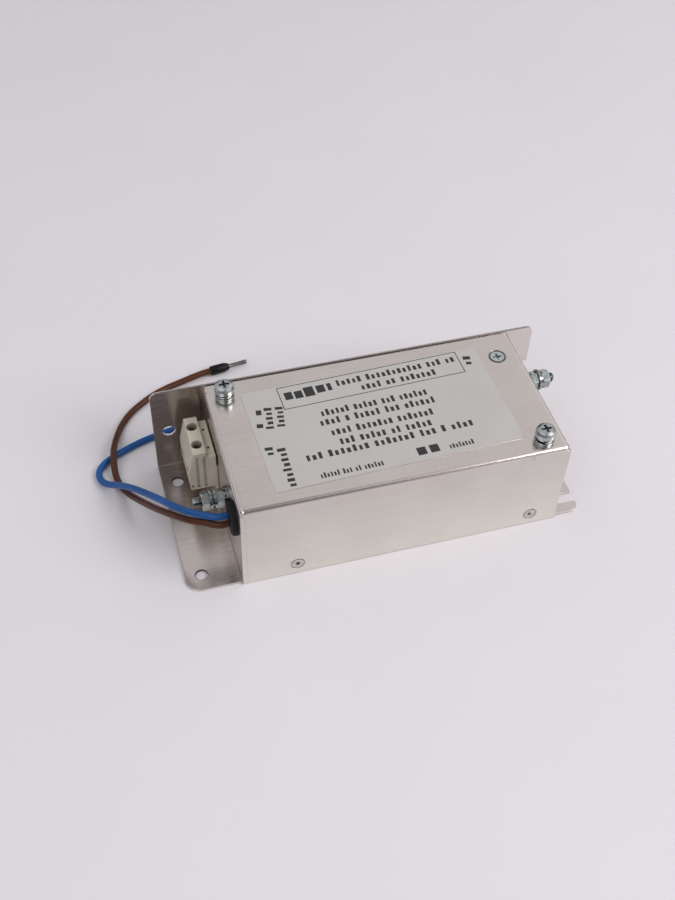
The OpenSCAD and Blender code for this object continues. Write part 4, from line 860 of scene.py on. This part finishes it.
# open spring washers under the mounting screws
washerSize = {
    "outer": 3.6,
    "inner": 2.1,
    "thick": 1.0,
    "rise": 1.0,
    "seat": 0.8,
    "sweep": 350,
    "steps": 72,
    "round": 0.16,
    "sharp": 40,
}
mountPlaces = [(-54.6, 27.3, 44.5), (63.4, -28.7, 44.5)]
washerTurns = (205, 250)  # where each split lies
bm = bmesh.new()
for place, turn in zip(mountPlaces, washerTurns):
    start = set(bm.verts)
    low = place[2] + washerSize["seat"]
    high = low + washerSize["thick"]
    inner, outer = washerSize["inner"], washerSize["outer"]
    corners = [(inner, low), (outer, low), (outer, high), (inner, high)]
    chain = [bm.verts.new((radius, 0, height)) for radius, height in corners]
    bm.faces.new(chain)
    bmesh.ops.bevel(
        bm, geom=chain, offset=washerSize["round"], segments=2, profile=0.5,
        affect="VERTICES", material=-1,
    )
    loop = [v for v in bm.verts if v not in start]
    edges = list({e for v in loop for e in v.link_edges})
    bmesh.ops.delete(bm, geom=[f for v in loop for f in v.link_faces][:1], context="FACES_ONLY")
    bmesh.ops.spin(
        bm, geom=loop + edges, cent=(0, 0, 0), axis=(0, 0, 1), angle=math.radians(washerSize["sweep"]),
        steps=washerSize["steps"], dvec=(0, 0, washerSize["rise"] / washerSize["steps"]),
    )
    fresh = [v for v in bm.verts if v not in start]
    bmesh.ops.holes_fill(bm, edges=[e for e in bm.edges if e.is_boundary], sides=0)
    bmesh.ops.rotate(bm, verts=fresh, cent=(0, 0, 0), matrix=Matrix.Rotation(math.radians(turn), 3, "Z"))
    bmesh.ops.translate(bm, verts=fresh, vec=(place[0], place[1], 0))
moveAll(bm, Matrix.Scale(mm, 4))
washers = makePiece("springWashers", bm, "zincPlate", washerSize["sharp"])
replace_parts(washers, "mounting_spring_washers")
print("spring washers wound")

# print on the label, in millimetres: a frame, rows of bars and plain blocks
labelPrint = {
    "height": 44.652,
    "thick": 0.012,
    "frame": {"middle": (6.4, 20.5), "size": (78.9, 12.4), "turn": 1.8, "line": 0.35, "short": (0, 0.74)},
    "rows": [  # middle x and y, length, height, turn, and how many bars are in each group
        (3.5, 8.0, 46.3, 3.5, 1.5, (6, 5, 3, 6)),
        (3.5, 2.9, 49.8, 3.5, 1.4, (4, 1, 5, 3, 6)),
        (3.5, -3.3, 44.0, 3.5, 1.3, (4, 7, 7)),
        (3.2, -8.8, 39.3, 3.5, 1.3, (3, 5, 2, 5)),
        (3.7, -13.6, 70.9, 3.5, 1.7, (3, 7, 7, 3, 1, 4)),
        (-15.5, -24.6, 26.0, 2.7, 1.0, (6, 3, 2, 6)),
        (30.4, -22.7, 10.7, 2.6, 1.4, (8,)),
        (17.6, 23.3, 53.2, 3.4, 2.0, (5, 11, 3, 2)),
        (17.3, 18.2, 33.6, 3.4, 1.6, (4, 2, 7)),
        (-40.3, 9.9, 12.8, 3.2, 82, (5,)),
        (-35.7, 9.7, 12.0, 3.2, 82, (5,)),
        (-44.4, -7.5, 5.3, 3.2, 84, (2,)),
        (-39.8, -17.2, 21.3, 3.4, 89, (8,)),
        (-44.2, 10.3, 11.7, 2.6, 82, (1, 1)),
        (49.1, 21.7, 6.4, 3.2, 81, (2,)),
    ],
    "space": 0.7,  # between groups, in bars
    "rises": (0.72, 1.0, 0.72, 0.86),  # bars of uneven height and width
    "widths": (0.5, 0.62, 0.56),
    "blocks": [  # middle x and y, width, height, turn
        (-29.4, 20.2, 3.4, 4.2, 3),
        (-25.2, 20.0, 3.4, 4.2, 3),
        (-20.6, 20.6, 4.2, 5.4, 3),
        (-15.6, 21.0, 3.6, 4.2, 3),
        (-11.8, 21.2, 1.8, 4.2, 3),
        (13.9, -22.4, 3.8, 4.0, 2),
        (19.2, -22.2, 3.8, 4.0, 2),
    ],
}


# one flat patch of ink
def addPatch(bm, middle, size, turn):
    square = bmesh.ops.create_grid(bm, x_segments=1, y_segments=1, size=0.5)["verts"]
    bmesh.ops.scale(bm, verts=square, vec=(size[0], size[1], 1))
    bmesh.ops.rotate(bm, verts=square, cent=(0, 0, 0), matrix=Matrix.Rotation(math.radians(turn), 3, "Z"))
    bmesh.ops.translate(bm, verts=square, vec=(*middle, labelPrint["height"]))


def addRow(bm, x, y, length, tall, turn, groups):
    space, rises, widths = labelPrint["space"], labelPrint["rises"], labelPrint["widths"]
    step = length / (sum(groups) + space * (len(groups) - 1))
    along = Vector((math.cos(math.radians(turn)), math.sin(math.radians(turn))))
    across = Vector((-along.y, along.x))
    at = -length / 2
    for count, bars in enumerate(groups):
        for k in range(bars):
            rise = rises[(k * 3 + count * 2 + bars) % len(rises)]
            wide = step * widths[(k + count) % len(widths)]
            middle = Vector((x, y)) + along * (at + step / 2) + across * (rise - 1) * tall / 2
            addPatch(bm, middle, (wide, tall * rise), turn)
            at += step
        at += space * step


bm = bmesh.new()
outline = labelPrint["frame"]
turned = Matrix.Rotation(math.radians(outline["turn"]), 2)
for axis, other in ((0, 1), (1, 0)):
    for side in (-0.5, 0.5):
        offset = [0, 0]
        offset[other] = side * outline["size"][other]
        size = [outline["line"], outline["line"]]
        size[axis] += outline["size"][axis] - outline["short"][axis]
        addPatch(bm, Vector(outline["middle"]) + turned @ Vector(offset), size, outline["turn"])
for row in labelPrint["rows"]:
    addRow(bm, *row)
for x, y, wide, tall, turn in labelPrint["blocks"]:
    addPatch(bm, (x, y), (wide, tall), turn)
bmesh.ops.solidify(bm, geom=bm.faces[:], thickness=-labelPrint["thick"])
moveAll(bm, Matrix.Scale(mm, 4))
makePiece("labelPrint", bm, "printInk")
print("label printed")

# pale table
tableLook = {
    "light": (0.775, 0.745, 0.785), "dark": (0.765, 0.735, 0.775), "rough": (0.55, 0.65),
    "mottle": 12, "pebble": 700, "bump": 0.02,
}
tableShape = {"half": 3, "drop": 0.00005}
bm = bmesh.new()
bmesh.ops.create_grid(bm, x_segments=1, y_segments=1, size=tableShape["half"])
bmesh.ops.translate(bm, verts=bm.verts, vec=(0, 0, -tableShape["drop"]))
mesh = bpy.data.meshes.new("table")
bm.to_mesh(mesh)
bm.free()
mesh.materials.append(mouldedFinish("paleTable", tableLook))
table = bpy.data.objects.new("table", mesh)
scene.collection.objects.link(table)

# soft studio light
lamps = {
    "key": {"place": (1.2, -0.9, 1.2), "size": 1.2, "power": 23.4, "colour": (1, 0.99, 0.98)},
    "overhead": {"place": (1.1, -0.35, 1.7), "size": 1.8, "power": 2.6, "colour": (1, 0.99, 0.98)},
    "softbox": {"place": (0.8, 1.15, 1.45), "size": 2.0, "power": 5.4, "colour": (1, 1, 1)},
    "fill": {"place": (-1.0, -1.0, 1.2), "size": 1.4, "power": 5.6, "colour": (0.99, 0.99, 1)},
    "highFill": {"place": (-0.9, -0.3, 1.7), "size": 1.8, "power": 6.4, "colour": (0.99, 0.99, 1)},
    "leftBack": {"place": (-0.95, 1.0, 1.05), "size": 2.1, "power": 5.3, "colour": (0.99, 0.99, 1)},
    "rightRim": {"place": (1.5, 0.5, 1.1), "size": 1.6, "power": 1.7, "colour": (1, 1, 1)},
    "nearTop": {"place": (0.35, -0.5, 1.75), "size": 1.0, "power": 0.6, "colour": (1, 1, 1)},
    "lowNear": {"place": (0.3, -1.45, 0.33), "size": 0.9, "power": 0.7, "colour": (1, 1, 1)},
    "lowRight": {"place": (1.4, 1.2, 0.42), "size": 0.9, "power": 0.6, "colour": (1, 1, 1)},
}
for name, lamp in lamps.items():
    data = bpy.data.lights.new(name, "AREA")
    data.shape = "DISK"
    data.size = lamp["size"]
    data.energy = lamp["power"]
    data.color = lamp["colour"]
    light = bpy.data.objects.new(name, data)
    light.matrix_world = aim(lamp["place"], Vector(lamp["place"]))
    scene.collection.objects.link(light)
room = {"colour": (0.56, 0.545, 0.56), "strength": 0.2}
world = bpy.data.worlds.new("softRoom")
world.use_nodes = True
sky = world.node_tree.nodes["Background"]
sky.inputs["Color"].default_value = (*room["colour"], 1)
sky.inputs["Strength"].default_value = room["strength"]
scene.world = world
print("table and lamps set")
